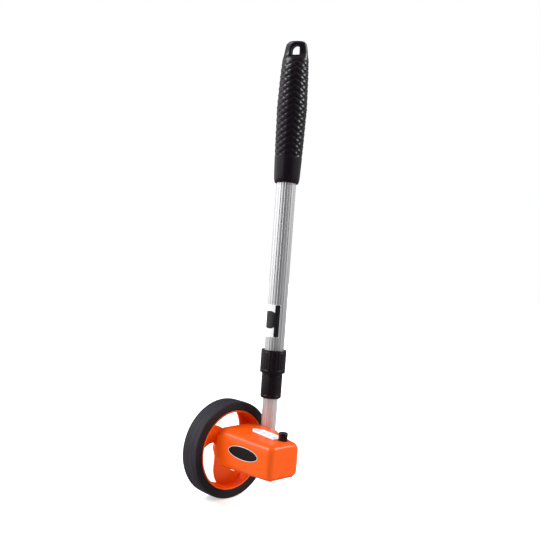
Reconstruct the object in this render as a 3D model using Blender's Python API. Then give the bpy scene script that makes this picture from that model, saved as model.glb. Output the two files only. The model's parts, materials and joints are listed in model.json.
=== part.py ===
"""Pocket measuring wheel with a telescoping pole.

A rubber-tyred wheel, one foot round, turns an axle that runs into a tapered
housing. Gears carry its turns to a counter under a window on the housing's
top. A three-section pole with two twist collars and a grip stands behind it.

Axes: +Y along the axle from the wheel to the housing, +Z up, +X away from the
pole. The origin is on the ground, under the middle of the bounding box.
"""

import math

import bmesh
import bpy
from mathutils import Matrix

# Sizes in metres. Each one is written once; what fits a piece is worked out from it.

# Clearances shared by every piece
GAP = 0.0003  # between pieces that rest on each other or fit together
RUN_GAP = 0.0004  # round what turns or slides
OVERRUN = 0.003  # how far a cutter runs past the face it opens

# Tyre
TYRE_RADIUS = 0.0485  # rolls one foot a turn
TYRE_THICKNESS = 0.0089
TYRE_WIDTH = 0.021
TYRE_CHAMFER = 0.0012

# Wheel: rim, three swept blades and hub, moulded in one
RIM_WALL = 0.0028
RIM_INSET = 0.0005  # how far the rim stands back from the tyre's side
RIM_KEY_HEIGHT = 0.0016  # rib that keeps the tyre from sliding off sideways
RIM_KEY_WIDTH = 0.008
RIM_LIP_WALL = 0.0016  # rim's wall at its open edges, where its bore is widest
WEB_THICKNESS = 0.0026
WEB_SET_BACK = 0.0021  # web's housing-side face at the rim, behind the middle plane
WEB_RISE = 0.0021  # how much nearer the housing the web lies at the hub than at the rim
HUB_RADIUS = 0.0150
HUB_FACE = 0.0042  # hub's housing-side face, from the wheel's middle plane
HUB_DEPTH = 0.0103  # end of the hub's cup, behind the middle plane
HUB_CUP_RADIUS = 0.0108
HUB_CUP_WALL = 0.0022
HUB_CUP_DEPTH = 0.0068
BLADE_COUNT = 3
BLADE_LEAN = 39.4  # degrees that a blade turns from its root to its tip
BLADE_ROOT_FLARE = 13.0  # degrees by which each side of a blade widens at its root
BLADE_ROOT_POWER = 9  # how fast that widening dies out towards the rim
OPENING_ANGLE = 67.4  # degrees between two blades, away from their roots
OPENING_MARGIN = 0.0008  # material left at the hub and at the rim
OPENING_TURN = 96.0  # degrees from +X to the first opening's middle
OPENING_SIDE_SHARES = (0.0, 0.06, 0.14, 0.25, 0.5, 0.75, 1.0)
OPENING_ARC_SHARES = (0.2, 0.4, 0.6, 0.8)

# Axle and what holds the wheel on it
AXLE_RADIUS = 0.0030
AXLE_COLLAR_RADIUS = 0.0052
AXLE_TAIL = 0.0015  # axle beyond the inner bush
WASHER_RADIUS = 0.0060
WASHER_THICKNESS = 0.0010
NUT_ACROSS_FLATS = 0.0085
NUT_THICKNESS = 0.0045

# Housing, a tapered box with all edges rounded
BODY_START = 0.0070  # wheel-side end, from the wheel's middle plane
BODY_LENGTH = 0.0753
BODY_WALL = 0.0022
BODY_END_WALL = 0.0040
START_HALF_WIDTH = 0.0250
START_TOP = 0.0255
START_BOTTOM = -0.0145
START_TOP_CORNER = 0.0090
START_BOTTOM_CORNER = 0.0140
END_HALF_WIDTH = 0.0193
END_TOP = 0.0220
END_BOTTOM = -0.0105
END_TOP_CORNER = 0.0070
END_BOTTOM_CORNER = 0.0070
TOP_CROWN = 0.0008
BACK_BULGE = 0.0072  # how much farther the back stands out round the pole
BULGE_LEAD = 0.0045  # plain back before the bulge, at the wheel's end
BULGE_RISE = 0.0035  # length over which the bulge rises
BULGE_FADE = 0.0300  # length over which it fades
BULGE_TAIL = 0.0083  # plain back beyond it, at the far end
START_FILLET = 0.0080
END_FILLET = 0.0055
INNER_FILLET = 0.0030

# Base cover and its screws
COVER_THICKNESS = 0.0028
POST_RADIUS = 0.0028
START_POST_X = 0.0120
START_POST_INSET = 0.0030  # post's axis, from the housing's inner end face
END_POST_X = 0.0130
END_POST_INSET = 0.0026
SCREW_RADIUS = 0.0010
SCREW_RECESS = 0.0006
SCREW_LENGTH = 0.0080
SCREW_HEAD_RADIUS = 0.0020
SCREW_HEAD_HEIGHT = 0.0010
SCREW_SLOT_WIDTH = 0.0006
SCREW_SLOT_DEPTH = 0.0005

# Counter frame
INPUT_ROOM = 0.0210  # between the housing's wheel-side wall and the frame, for the drive gears
FRAME_END_ROOM = 0.0178  # between the frame and the housing's far end
FRAME_PLATE = 0.0015
FRAME_LEFT = -0.0148
FRAME_RIGHT = 0.0065
FRAME_LIFT = 0.00085  # frame's underside above the base cover, at its far end
FRAME_BASE = 0.0012
FRAME_PAD_LEFT = -0.0122
FRAME_PAD_LENGTH = 0.0040
BUSH_WALL = 0.0016
BUSH_FLANGE = 0.0012
BUSH_FLANGE_THICKNESS = 0.0008

# Counter: input gears, shaft, digit drums and transfer pinions
COUNTER_X = -0.0070
COUNTER_DROP = 0.00215  # drums' top below the mask, halfway along the window
COUNTER_SHAFT_RADIUS = 0.0015
DRIVE_TEETH = 16
DRIVE_GEAR_WIDTH = 0.0040
DRUM_COUNT = 4
DRUM_RADIUS = 0.0080
DRUM_GEAR_WIDTH = 0.0014
DRUM_SLEEVE_WIDTH = 0.0012
DRUM_SPACING = 0.0003
DRUM_GEAR_TEETH = 20
DRUM_GEAR_RADIUS = 0.0068  # pitch radius
PINION_TEETH = 8
PINION_SHAFT_RADIUS = 0.0008
PINION_LEAN = 28.0  # degrees from straight down to the pinion shaft, seen from the drums
TOOTH_TIP_SHARE = 0.20
TOOTH_ROOT_SHARE = 0.58
ADDENDUM_SHARE = 0.85
DEDENDUM_SHARE = 1.20

# Window, mask and badge
WINDOW_LEAD = 0.0040  # how far the window reaches past the frame, at the wheel's end
WINDOW_LAP = 0.0005  # and at the far end
WINDOW_WIDTH = 0.0155
WINDOW_POINT = 0.0080
WINDOW_RECESS = 0.0003
MASK_THICKNESS = 0.0007
MASK_DEPTH = 0.0031  # mask, below the lens face
MASK_MARGIN = 0.0005
MASK_SLOT_WIDTH = 0.0062
MASK_SLOT_SHARE = 0.80  # slot's length as a share of a drum's rim
BADGE_LENGTH = 0.0380
BADGE_HEIGHT = 0.0126
BADGE_THICKNESS = 0.0009
BADGE_POCKET = 0.0006
BADGE_END_ROOM = 0.0155  # between the badge and the housing's far end
BADGE_RISE = 0.0088

# Reset button, comb and spring
BUTTON_RADIUS = 0.0043
BUTTON_END_ROOM = 0.0118  # between the button's axis and the housing's far end
BUTTON_PROUD = 0.0074
BUTTON_EDGE = 0.0008
BUTTON_TRAVEL = 0.0035
BUTTON_FLANGE = 0.0010
BUTTON_FLANGE_THICKNESS = 0.0012
BUTTON_STEM_RADIUS = 0.0014
BUTTON_STEM_LENGTH = 0.0060
SPRING_RADIUS = 0.0026
SPRING_WIRE_RADIUS = 0.00028
SPRING_TURNS = 6
SHELF_THICKNESS = 0.0012
SHELF_HALF_WIDTH = 0.0040
SHELF_DEPTH = 0.0150  # shelf's top, below the button's flange
COMB_GAP = 0.0010  # between the drums and the comb's fingers
COMB_FINGER = 0.0012
COMB_THICKNESS = 0.0012
COMB_HEIGHT = 0.0070
COMB_FINGER_HEIGHT = 0.0030
COMB_ARM = 0.0012

# Pole
POLE_OUT = 0.0070  # pole's axis beyond the housing's half width
POLE_Y = 0.0243
UPPER_POLE_TURN = 28.0  # degrees, from +X towards +Y, that grip and label face
TUBE_WALL = 0.0008
LOWER_TUBE_RADIUS = 0.0075
TUBE_FLUTES = 18
FLUTE_DEPTH = 0.00035
FLUTE_LAND_SHARE = 0.62
SECTION_TRAVEL = 0.2650
SECTION_OVERLAP = 0.0310
SOCKET_WALL = 0.0022
SOCKET_TOP = 0.0190
SOCKET_FLOOR = 0.0025
SOCKET_SCREW_RISE = 0.0100  # clamp screw, above the tube's foot
SOCKET_SCREW_RADIUS = 0.0014
SOCKET_SCREW_HEAD = 0.0026
SOCKET_SCREW_HEAD_HEIGHT = 0.0022
LOWER_COLLAR_BOTTOM = 0.0529
LOWER_COLLAR_LENGTH = 0.0254
LOWER_COLLAR_WALL = 0.0015
LOWER_COLLAR_ROUND = 0.0018  # rounding of the lower collar's bottom edge
UPPER_COLLAR_LENGTH = 0.0232
UPPER_COLLAR_WALL = 0.0026
COLLAR_EDGE = 0.0010
COLLET_LENGTH = 0.0055
COLLET_SPLIT = 25.0  # degrees
COLLAR_MOUTH = 0.0020
PLUG_FLANGE = 0.0016
PLUG_SPIGOT = 0.0060
PLUG_ROOM = 0.0025  # between the middle tube's plug and the end of the grip's bore

# Grip and label
GRIP_LENGTH = 0.1432
GRIP_HEIGHT_SHARES = (0.0, 0.007, 0.033, 0.155, 0.277, 0.480, 0.513, 0.654,
                      0.78, 0.87, 0.89, 0.91, 0.939, 0.983, 0.9944, 1.0)
GRIP_WIDE_SHARES = (0.765, 0.795, 0.84, 0.892, 0.94, 0.987, 1.0, 0.967,
                    0.925, 0.877, 0.845, 0.81, 0.776, 0.682, 0.584, 0.526)
GRIP_THIN_SHARES = (0.765, 0.795, 0.84, 0.892, 0.94, 0.987, 1.0, 0.967,
                    0.90, 0.66, 0.52, 0.42, 0.375, 0.35, 0.31, 0.27)
GRIP_WALL = 0.0052  # rubber round the tube, at the grip's widest
GRIP_CAP = 0.0267  # solid rubber above the bore
HANG_HOLE_WIDTH = 0.0094
HANG_HOLE_HEIGHT = 0.0106
HANG_HOLE_TOP = 0.0031  # material above the hole
HANG_HOLE_THROAT = 0.0080  # straight part of the hole, between its flared ends
HANG_HOLE_FLARE_SHARE = 0.7
LABEL_LENGTH = 0.0327
LABEL_THICKNESS = 0.0003
LABEL_ANGLE = 105.0
LABEL_RISE = 0.0132  # label's lower edge, above the upper collar

# Roundness: faces round a full turn
TYRE_FACES = 64
TURNED_FACES = 32
SMALL_FACES = 16

# Heights and places that follow from the sizes above
AXLE_HEIGHT = TYRE_RADIUS
RIM_RADIUS = TYRE_RADIUS - TYRE_THICKNESS
RIM_HALF = TYRE_WIDTH / 2 - RIM_INSET
RIM_BORE = RIM_RADIUS - RIM_WALL
BODY_END = BODY_START + BODY_LENGTH
RIM_LIP = RIM_RADIUS - RIM_LIP_WALL
HUB_CUP_FLOOR = HUB_CUP_DEPTH - HUB_DEPTH
NUT_END = HUB_CUP_FLOOR - GAP - WASHER_THICKNESS - GAP - NUT_THICKNESS
FRAME_START = BODY_START + BODY_END_WALL + INPUT_ROOM
FRAME_END = BODY_END - FRAME_END_ROOM
FRAME_LENGTH = FRAME_END - FRAME_START
WINDOW_LENGTH = WINDOW_LEAD + FRAME_LENGTH + WINDOW_LAP
BUTTON_CENTRE = BODY_END - BUTTON_END_ROOM
BADGE_CENTRE = BODY_END - BADGE_END_ROOM - BADGE_LENGTH / 2
WINDOW_MIDDLE = FRAME_END + WINDOW_LAP - WINDOW_LENGTH / 2
GEAR_CENTRE = (BODY_START + BODY_END_WALL + BUSH_FLANGE_THICKNESS + FRAME_START) / 2
DRUM_PITCH = (FRAME_LENGTH - 2 * FRAME_PLATE) / DRUM_COUNT
DRUM_RIM_WIDTH = DRUM_PITCH - DRUM_GEAR_WIDTH - DRUM_SLEEVE_WIDTH - DRUM_SPACING
PINION_RADIUS = DRUM_GEAR_RADIUS * PINION_TEETH / DRUM_GEAR_TEETH
PINION_DISTANCE = DRUM_GEAR_RADIUS + PINION_RADIUS
MIDDLE_Y = (BODY_END + min(NUT_END, -HUB_DEPTH, -TYRE_WIDTH / 2)) / 2
LOWER_COLLAR_TOP = LOWER_COLLAR_BOTTOM + LOWER_COLLAR_LENGTH
UPPER_COLLAR_BOTTOM = LOWER_COLLAR_TOP + GAP
COLLET_SEAT = COLLAR_MOUTH + GAP  # a collet's underside, above its collar's
MIDDLE_TUBE_FOOT = LOWER_COLLAR_BOTTOM + COLLET_SEAT + COLLET_LENGTH + GAP
OUTER_TUBE_FOOT = UPPER_COLLAR_BOTTOM + COLLET_SEAT + COLLET_LENGTH + GAP
LOWER_TUBE_TOP = MIDDLE_TUBE_FOOT + SECTION_TRAVEL + SECTION_OVERLAP
MIDDLE_TUBE_TOP = OUTER_TUBE_FOOT + SECTION_TRAVEL + SECTION_OVERLAP
GRIP_BORE_TOP = MIDDLE_TUBE_TOP + GAP + PLUG_FLANGE + PLUG_ROOM
GRIP_TOP = GRIP_BORE_TOP + GRIP_CAP
GRIP_BOTTOM = GRIP_TOP - GRIP_LENGTH
POLE_X = -(START_HALF_WIDTH + POLE_OUT)
MIDDLE_TUBE_RADIUS = LOWER_TUBE_RADIUS + TUBE_WALL + RUN_GAP
OUTER_TUBE_RADIUS = MIDDLE_TUBE_RADIUS + TUBE_WALL + RUN_GAP
SOCKET_RADIUS = LOWER_TUBE_RADIUS + GAP + SOCKET_WALL
LOWER_COLLAR_RADIUS = MIDDLE_TUBE_RADIUS + GAP + LOWER_COLLAR_WALL
UPPER_COLLAR_RADIUS = OUTER_TUBE_RADIUS + GAP + UPPER_COLLAR_WALL
GRIP_RADIUS = OUTER_TUBE_RADIUS + GAP + GRIP_WALL


def body_share(y):
    """How far along the housing a section at y lies, 0 at the wheel side and 1 at the far end."""
    return (y - BODY_START) / BODY_LENGTH


def body_mix(start, end, y):
    """A housing size at y, between its two end values."""
    return start + (end - start) * body_share(y)


def body_top(y):
    """Height of the housing's top edge at y, without its crown."""
    return body_mix(START_TOP, END_TOP, y)


def body_bottom(y):
    """Height of the housing's underside at y."""
    return body_mix(START_BOTTOM, END_BOTTOM, y)


def body_half(y):
    """How far the housing's front reaches from the axle at y."""
    return body_mix(START_HALF_WIDTH, END_HALF_WIDTH, y)


def ease(share):
    """Smooth step from 0 to 1."""
    share = min(1.0, max(0.0, share))
    return share * share * (3 - 2 * share)


def body_back(y):
    """How far the housing's back reaches from the axle at y, with the bulge round the pole."""
    rise = ease((y - BODY_START - BULGE_LEAD) / BULGE_RISE)
    fall = ease((y - BODY_END + BULGE_TAIL + BULGE_FADE) / BULGE_FADE)
    return body_half(y) + BACK_BULGE * rise * (1 - fall)


def body_crown(x, y):
    """How much the crowned top stands above its edges at x, y."""
    middle = (body_half(y) - body_back(y)) / 2
    width = (body_half(y) + body_back(y)) / 2
    return TOP_CROWN * max(0.0, 1 - ((x - middle) / width) ** 2)


BODY_SLOPE = math.atan2(END_TOP - START_TOP, BODY_LENGTH)
BODY_TAPER = math.atan2(START_HALF_WIDTH - END_HALF_WIDTH, BODY_LENGTH)
WINDOW_TOP = body_top(WINDOW_MIDDLE) + body_crown(COUNTER_X, WINDOW_MIDDLE) - WINDOW_RECESS
COUNTER_Z = WINDOW_TOP - MASK_DEPTH - MASK_THICKNESS - COUNTER_DROP - DRUM_RADIUS
INPUT_PITCH_RADIUS = math.hypot(COUNTER_X, COUNTER_Z) / 2
FRAME_FLOOR = body_bottom(FRAME_END) + COVER_THICKNESS + FRAME_LIFT
BUTTON_SEAT = body_top(BUTTON_CENTRE) + body_crown(COUNTER_X, BUTTON_CENTRE)
BUTTON_FLANGE_TOP = BUTTON_SEAT - MASK_DEPTH - MASK_THICKNESS - 3 * GAP


# Scene, materials and placing

def clear_scene():
    """Remove whatever objects the scene holds."""
    for item in list(bpy.data.objects):
        bpy.data.objects.remove(item, do_unlink=True)


def make_material(name, colour, roughness, metallic=0.0):
    """A Principled material with one colour."""
    material = bpy.data.materials.new(name)
    material.use_nodes = True
    shader = material.node_tree.nodes["Principled BSDF"]
    shader.inputs["Base Color"].default_value = (*colour, 1.0)
    shader.inputs["Roughness"].default_value = roughness
    shader.inputs["Metallic"].default_value = metallic
    return material


def make_materials():
    """All finishes, by name."""
    return {
        "tyre": make_material("tyre_rubber", (0.03, 0.03, 0.035), 0.75),
        "orange": make_material("orange_plastic", (0.90, 0.22, 0.03), 0.35),
        "black": make_material("black_plastic", (0.02, 0.02, 0.022), 0.45),
        "grip": make_material("grip_rubber", (0.025, 0.024, 0.03), 0.6),
        "aluminium": make_material("aluminium", (0.72, 0.72, 0.73), 0.35, 1.0),
        "steel": make_material("steel", (0.55, 0.55, 0.56), 0.3, 1.0),
        "brass": make_material("brass", (0.75, 0.58, 0.28), 0.35, 1.0),
        "white": make_material("white_plastic", (0.85, 0.85, 0.88), 0.4),
        "clear": make_material("clear_plastic", (0.9, 0.92, 0.95), 0.08),
    }


def make_empty(name, location, parent=None, rotation=(0.0, 0.0, 0.0)):
    """An empty that marks an axis; pieces that turn or slide there are its children."""
    empty = bpy.data.objects.new(name, None)
    bpy.context.collection.objects.link(empty)
    empty.location = location
    empty.rotation_euler = rotation
    empty.parent = parent
    return empty


def make_object(name, mesh, parent, material=None, location=(0.0, 0.0, 0.0),
                rotation=(0.0, 0.0, 0.0)):
    """Put a mesh into the scene as a named piece."""
    piece = bpy.data.objects.new(name, mesh)
    bpy.context.collection.objects.link(piece)
    piece.parent = parent
    piece.location = location
    piece.rotation_euler = rotation
    if material is not None:
        mesh.materials.append(material)
    return piece


def make_cutter(name, mesh, parent, location=(0.0, 0.0, 0.0), rotation=(0.0, 0.0, 0.0)):
    """Put a mesh into the scene as a hidden helper for a Boolean."""
    cutter = make_object(name, mesh, parent, None, location, rotation)
    cutter.hide_render = True
    cutter.display_type = "WIRE"
    return cutter


def add_boolean(piece, other, operation="DIFFERENCE"):
    """Combine a piece with a helper and leave the modifier live."""
    modifier = piece.modifiers.new(other.name, "BOOLEAN")
    modifier.operation = operation
    modifier.solver = "EXACT"
    modifier.object = other


# Mesh builders

def finish_mesh(name, bm, smooth=True):
    """Turn a bmesh into a mesh with outward faces and smooth round sides."""
    bmesh.ops.recalc_face_normals(bm, faces=bm.faces)
    mesh = bpy.data.meshes.new(name)
    bm.to_mesh(mesh)
    bm.free()
    if smooth:
        mesh.shade_smooth()
        mesh.set_sharp_from_angle(angle=math.radians(35))
    return mesh


def loft_mesh(name, rings, closed=False):
    """Skin a row of equal-length rings of points; open rows are capped, closed ones join up."""
    bm = bmesh.new()
    loops = [[bm.verts.new(point) for point in ring] for ring in rings]
    pairs = list(zip(loops, loops[1:]))
    if closed:
        pairs.append((loops[-1], loops[0]))
    for low, high in pairs:
        count = len(low)
        for i in range(count):
            j = (i + 1) % count
            bm.faces.new((low[i], low[j], high[j], high[i]))
    if not closed:
        bm.faces.new(list(reversed(loops[0])))
        bm.faces.new(loops[-1])
    return finish_mesh(name, bm)


def turned_ring(name, profile, faces=TURNED_FACES):
    """A ring turned about Z from a closed outline of (radius, height) points."""
    rings = []
    for i in range(faces):
        angle = 2 * math.pi * i / faces
        rings.append([(r * math.cos(angle), r * math.sin(angle), h) for r, h in profile])
    return loft_mesh(name, rings, closed=True)


def turned_solid(name, profile, faces=TURNED_FACES):
    """A solid turned about Z from (radius, height) points, flat at both ends."""
    rings = []
    for r, h in profile:
        rings.append([(r * math.cos(2 * math.pi * i / faces), r * math.sin(2 * math.pi * i / faces), h)
                      for i in range(faces)])
    return loft_mesh(name, rings)


def prism(name, outline, low, high):
    """A solid with one outline, from height low to height high."""
    return loft_mesh(name, [[(x, y, low) for x, y in outline], [(x, y, high) for x, y in outline]])


def box(name, low, high):
    """A box between two corners."""
    outline = [(low[0], low[1]), (high[0], low[1]), (high[0], high[1]), (low[0], high[1])]
    return prism(name, outline, low[2], high[2])


def circle(radius, count=SMALL_FACES, centre=(0.0, 0.0)):
    """Points round a circle."""
    points = []
    for i in range(count):
        angle = 2 * math.pi * i / count
        points.append((centre[0] + radius * math.cos(angle), centre[1] + radius * math.sin(angle)))
    return points


def polar(radius, degrees):
    """A point in the plane from its radius and angle."""
    return radius * math.cos(math.radians(degrees)), radius * math.sin(math.radians(degrees))


def gear_outline(teeth, pitch_radius, turn):
    """Outline of a spur gear with straight-sided teeth, one tooth pointing to turn degrees."""
    module = 2 * pitch_radius / teeth
    tip = pitch_radius + ADDENDUM_SHARE * module
    root = pitch_radius - DEDENDUM_SHARE * module
    step = 360 / teeth
    points = []
    for i in range(teeth):
        middle = turn + i * step
        points.append(polar(root, middle - TOOTH_ROOT_SHARE * step / 2))
        points.append(polar(tip, middle - TOOTH_TIP_SHARE * step / 2))
        points.append(polar(tip, middle + TOOTH_TIP_SHARE * step / 2))
        points.append(polar(root, middle + TOOTH_ROOT_SHARE * step / 2))
    return points


# Wheel, in the axle's own frame: Z along the axle towards the housing

def build_tyre(axis, materials):
    """Rubber tyre, grooved inside to sit over the rim's rib."""
    half = TYRE_WIDTH / 2
    bore = RIM_RADIUS + GAP
    groove = bore + RIM_KEY_HEIGHT
    groove_half = RIM_KEY_WIDTH / 2 + GAP
    profile = [
        (bore, -half), (TYRE_RADIUS - TYRE_CHAMFER, -half), (TYRE_RADIUS, -half + TYRE_CHAMFER),
        (TYRE_RADIUS, half - TYRE_CHAMFER), (TYRE_RADIUS - TYRE_CHAMFER, half), (bore, half),
        (bore, groove_half), (groove, groove_half), (groove, -groove_half), (bore, -groove_half),
    ]
    make_object("tyre", turned_ring("tyre", profile, TYRE_FACES), axis, materials["tyre"])


def opening_side(side, share):
    """Point on one side of an opening, from the hub at share 0 to the rim at share 1."""
    inner = HUB_RADIUS + OPENING_MARGIN
    outer = RIM_BORE - OPENING_MARGIN
    flare = BLADE_ROOT_FLARE * (1 - share) ** BLADE_ROOT_POWER
    angle = side * (OPENING_ANGLE / 2 - flare) + BLADE_LEAN * (share - 0.5)
    return polar(inner + (outer - inner) * share, angle)


def opening_outline():
    """Outline of the gap between two swept blades, centred on the X axis."""
    near = [opening_side(-1, share) for share in OPENING_SIDE_SHARES]
    far = [opening_side(1, share) for share in reversed(OPENING_SIDE_SHARES)]
    outer = RIM_BORE - OPENING_MARGIN
    arc = [polar(outer, BLADE_LEAN / 2 + OPENING_ANGLE * (share - 0.5)) for share in OPENING_ARC_SHARES]
    return near + arc + far


def build_wheel(axis, materials):
    """Rim, dished web and hub in one turned solid, with the gaps between the blades cut out."""
    key_radius = RIM_RADIUS + RIM_KEY_HEIGHT
    key_half = RIM_KEY_WIDTH / 2
    rim_web = -WEB_SET_BACK
    hub_web = rim_web + WEB_RISE
    bore = AXLE_RADIUS + GAP
    cup = HUB_CUP_RADIUS - HUB_CUP_WALL
    profile = [
        (bore, HUB_FACE), (HUB_RADIUS, HUB_FACE), (HUB_RADIUS, hub_web), (RIM_BORE, rim_web),
        (RIM_LIP, RIM_HALF), (RIM_RADIUS, RIM_HALF), (RIM_RADIUS, key_half), (key_radius, key_half),
        (key_radius, -key_half), (RIM_RADIUS, -key_half), (RIM_RADIUS, -RIM_HALF), (RIM_LIP, -RIM_HALF),
        (RIM_BORE, rim_web - WEB_THICKNESS), (HUB_RADIUS, hub_web - WEB_THICKNESS),
        (HUB_CUP_RADIUS, hub_web - WEB_THICKNESS), (HUB_CUP_RADIUS, -HUB_DEPTH), (cup, -HUB_DEPTH),
        (cup, HUB_CUP_FLOOR), (bore, HUB_CUP_FLOOR),
    ]
    wheel = make_object("wheel", turned_ring("wheel", profile, TYRE_FACES), axis, materials["orange"])
    low = rim_web - WEB_THICKNESS - OVERRUN
    opening = prism("opening", opening_outline(), low, hub_web + OVERRUN)
    for i in range(BLADE_COUNT):
        turn = math.radians(-OPENING_TURN - i * 360 / BLADE_COUNT)
        cutter = make_cutter(f"opening_{i + 1}", opening, axis, rotation=(0.0, 0.0, turn))
        add_boolean(wheel, cutter)


def build_axle(axis, materials):
    """Steel axle: nut end, wheel seat, thrust collar, then the shaft into the housing."""
    collar_near = BODY_START - GAP
    collar_far = HUB_FACE + GAP
    axle_end = FRAME_START + FRAME_PLATE + AXLE_TAIL
    profile = [
        (AXLE_RADIUS, NUT_END), (AXLE_RADIUS, collar_far), (AXLE_COLLAR_RADIUS, collar_far),
        (AXLE_COLLAR_RADIUS, collar_near), (AXLE_RADIUS, collar_near), (AXLE_RADIUS, axle_end),
    ]
    make_object("axle", turned_solid("axle", profile), axis, materials["steel"])


def build_wheel_fixings(axis, materials):
    """Washer and hexagon nut in the cup on the wheel's outer side."""
    bore = AXLE_RADIUS + GAP
    washer_top = HUB_CUP_FLOOR - GAP
    washer_low = washer_top - WASHER_THICKNESS
    profile = [
        (bore, washer_top), (WASHER_RADIUS, washer_top), (WASHER_RADIUS, washer_low), (bore, washer_low),
    ]
    make_object("wheel_washer", turned_ring("wheel_washer", profile), axis, materials["steel"])
    corner = NUT_ACROSS_FLATS / 2 / math.cos(math.pi / 6)
    nut = prism("wheel_nut", circle(corner, 6), NUT_END, washer_low - GAP)
    piece = make_object("wheel_nut", nut, axis, materials["steel"])
    hole = prism("nut_hole", circle(bore, TURNED_FACES), NUT_END - OVERRUN, washer_low + OVERRUN)
    add_boolean(piece, make_cutter("nut_hole", hole, axis))


def centre_line_angle():
    """Direction from the axle to the counter shaft, in degrees in the axle's own frame."""
    return math.degrees(math.atan2(-COUNTER_Z, COUNTER_X))


def build_gear(name, axis, material, outline, bore, low, high):
    """A gear with a round bore."""
    gear = make_object(name, prism(name, outline, low, high), axis, material)
    hole = prism(name + "_hole", circle(bore, TURNED_FACES), low - OVERRUN, high + OVERRUN)
    add_boolean(gear, make_cutter(name + "_hole", hole, axis))


def build_drive_gear(axis, materials):
    """Gear on the axle, with a tooth pointing at the counter shaft."""
    outline = gear_outline(DRIVE_TEETH, INPUT_PITCH_RADIUS, centre_line_angle())
    low = GEAR_CENTRE - DRIVE_GEAR_WIDTH / 2
    high = low + DRIVE_GEAR_WIDTH
    build_gear("drive_gear", axis, materials["brass"], outline, AXLE_RADIUS + GAP, low, high)


# Housing, in the wheel's frame: Y along the axle, Z up

def body_section(y, inset=0.0, arc_steps=8):
    """Outline of the housing at y, drawn in by inset, as (x, y, z) points."""
    front = body_half(y) - inset
    back = inset - body_back(y)
    top = body_top(y) - inset
    bottom = body_bottom(y) + inset
    high = max(body_mix(START_TOP_CORNER, END_TOP_CORNER, y) - inset, 2 * GAP)
    low = max(body_mix(START_BOTTOM_CORNER, END_BOTTOM_CORNER, y) - inset, 2 * GAP)
    corners = (
        (front - high, top - high, high, 0), (back + high, top - high, high, 90),
        (back + low, bottom + low, low, 180), (front - low, bottom + low, low, 270),
    )
    flat = []
    for centre_x, centre_z, radius, start in corners:
        for i in range(arc_steps + 1):
            dx, dz = polar(radius, start + 90 * i / arc_steps)
            flat.append((centre_x + dx, centre_z + dz))
        if start == 0:
            span = back - front + 2 * high
            flat.extend((centre_x + span * share, top) for share in (0.25, 0.5, 0.75))
    middle = (top + bottom) / 2
    points = []
    for x, z in flat:
        lift = max(0.0, (z - middle) / (top - middle)) * body_crown(x, y)
        points.append((x, y, z + lift))
    return points


def edge_inset(distance, fillet):
    """How far a fillet draws the outline in, at a distance from the end face."""
    reach = max(0.0, fillet - distance)
    return fillet - math.sqrt(fillet * fillet - reach * reach)


def body_loft(name, start, end, inset, start_fillet, end_fillet, steps=6):
    """The housing's tapered form between two ends, each rounded by its fillet."""
    places = [start + start_fillet * (1 - math.cos(math.pi / 2 * i / steps)) for i in range(steps + 1)]
    places += [end - end_fillet * (1 - math.cos(math.pi / 2 * i / steps)) for i in range(steps + 1)]
    bulge = BODY_START + BULGE_LEAD
    fade = BODY_END - BULGE_TAIL - BULGE_FADE
    places += [bulge + BULGE_RISE * i / steps for i in range(steps + 1)]
    places += [fade + BULGE_FADE * i / steps for i in range(steps + 1)]
    places = [y for y in places if start <= y <= end]
    rings = []
    for y in sorted(places):
        drawn_in = edge_inset(y - start, start_fillet) + edge_inset(end - y, end_fillet)
        rings.append(body_section(y, inset + drawn_in))
    return loft_mesh(name, rings)


def cover_wedge(name, rise):
    """Everything below the base cover's sloped inner face, raised by rise."""
    half = START_HALF_WIDTH + BACK_BULGE + OVERRUN
    ends = (BODY_START - OVERRUN, BODY_END + OVERRUN)
    low = min(START_BOTTOM, END_BOTTOM) - 2 * OVERRUN
    rings = []
    for y in ends:
        top = body_bottom(y) + COVER_THICKNESS + rise
        rings.append([(-half, y, low), (half, y, low), (half, y, top), (-half, y, top)])
    return loft_mesh(name, rings)


def window_outline(margin):
    """Window's outline about its own middle: a strip with a point at the wheel's end."""
    half = WINDOW_WIDTH / 2 + margin
    low = -WINDOW_LENGTH / 2 - margin
    high = WINDOW_LENGTH / 2 + margin
    shoulder = low + WINDOW_POINT
    return [(0.0, low), (half, shoulder), (half, high), (-half, high), (-half, shoulder)]


def post_places():
    """Axis of each cover screw: x and y."""
    start_y = BODY_START + BODY_END_WALL + START_POST_INSET
    end_y = BODY_END - BODY_WALL - END_POST_INSET
    return [(-START_POST_X, start_y), (START_POST_X, start_y), (-END_POST_X, end_y), (END_POST_X, end_y)]


def build_housing(root, materials):
    """Hollow shell with screw posts and a pole socket, open below for the base cover."""
    outer = body_loft("housing", BODY_START, BODY_END, 0.0, START_FILLET, END_FILLET)
    housing = make_object("housing", outer, root, materials["orange"])
    hollow = body_loft("hollow", BODY_START + BODY_END_WALL, BODY_END - BODY_WALL, BODY_WALL,
                       INNER_FILLET, INNER_FILLET, 2)
    add_boolean(housing, make_cutter("hollow", hollow, root))
    add_socket(housing, root)
    add_posts(housing, root)
    add_boolean(housing, make_cutter("base_split", cover_wedge("base_split", GAP), root))
    cut_top(housing, root)
    cut_bores(housing, root)


def add_socket(housing, root):
    """Round socket on the housing's back that takes the pole's foot."""
    foot = body_bottom(POLE_Y) + COVER_THICKNESS + GAP
    edge = COLLAR_EDGE
    profile = [
        (SOCKET_RADIUS - edge, foot), (SOCKET_RADIUS, foot + edge),
        (SOCKET_RADIUS, SOCKET_TOP - edge), (SOCKET_RADIUS - edge, SOCKET_TOP),
    ]
    socket = turned_solid("socket", profile)
    add_boolean(housing, make_cutter("socket", socket, root, (POLE_X, POLE_Y, 0.0)), "UNION")


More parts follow.
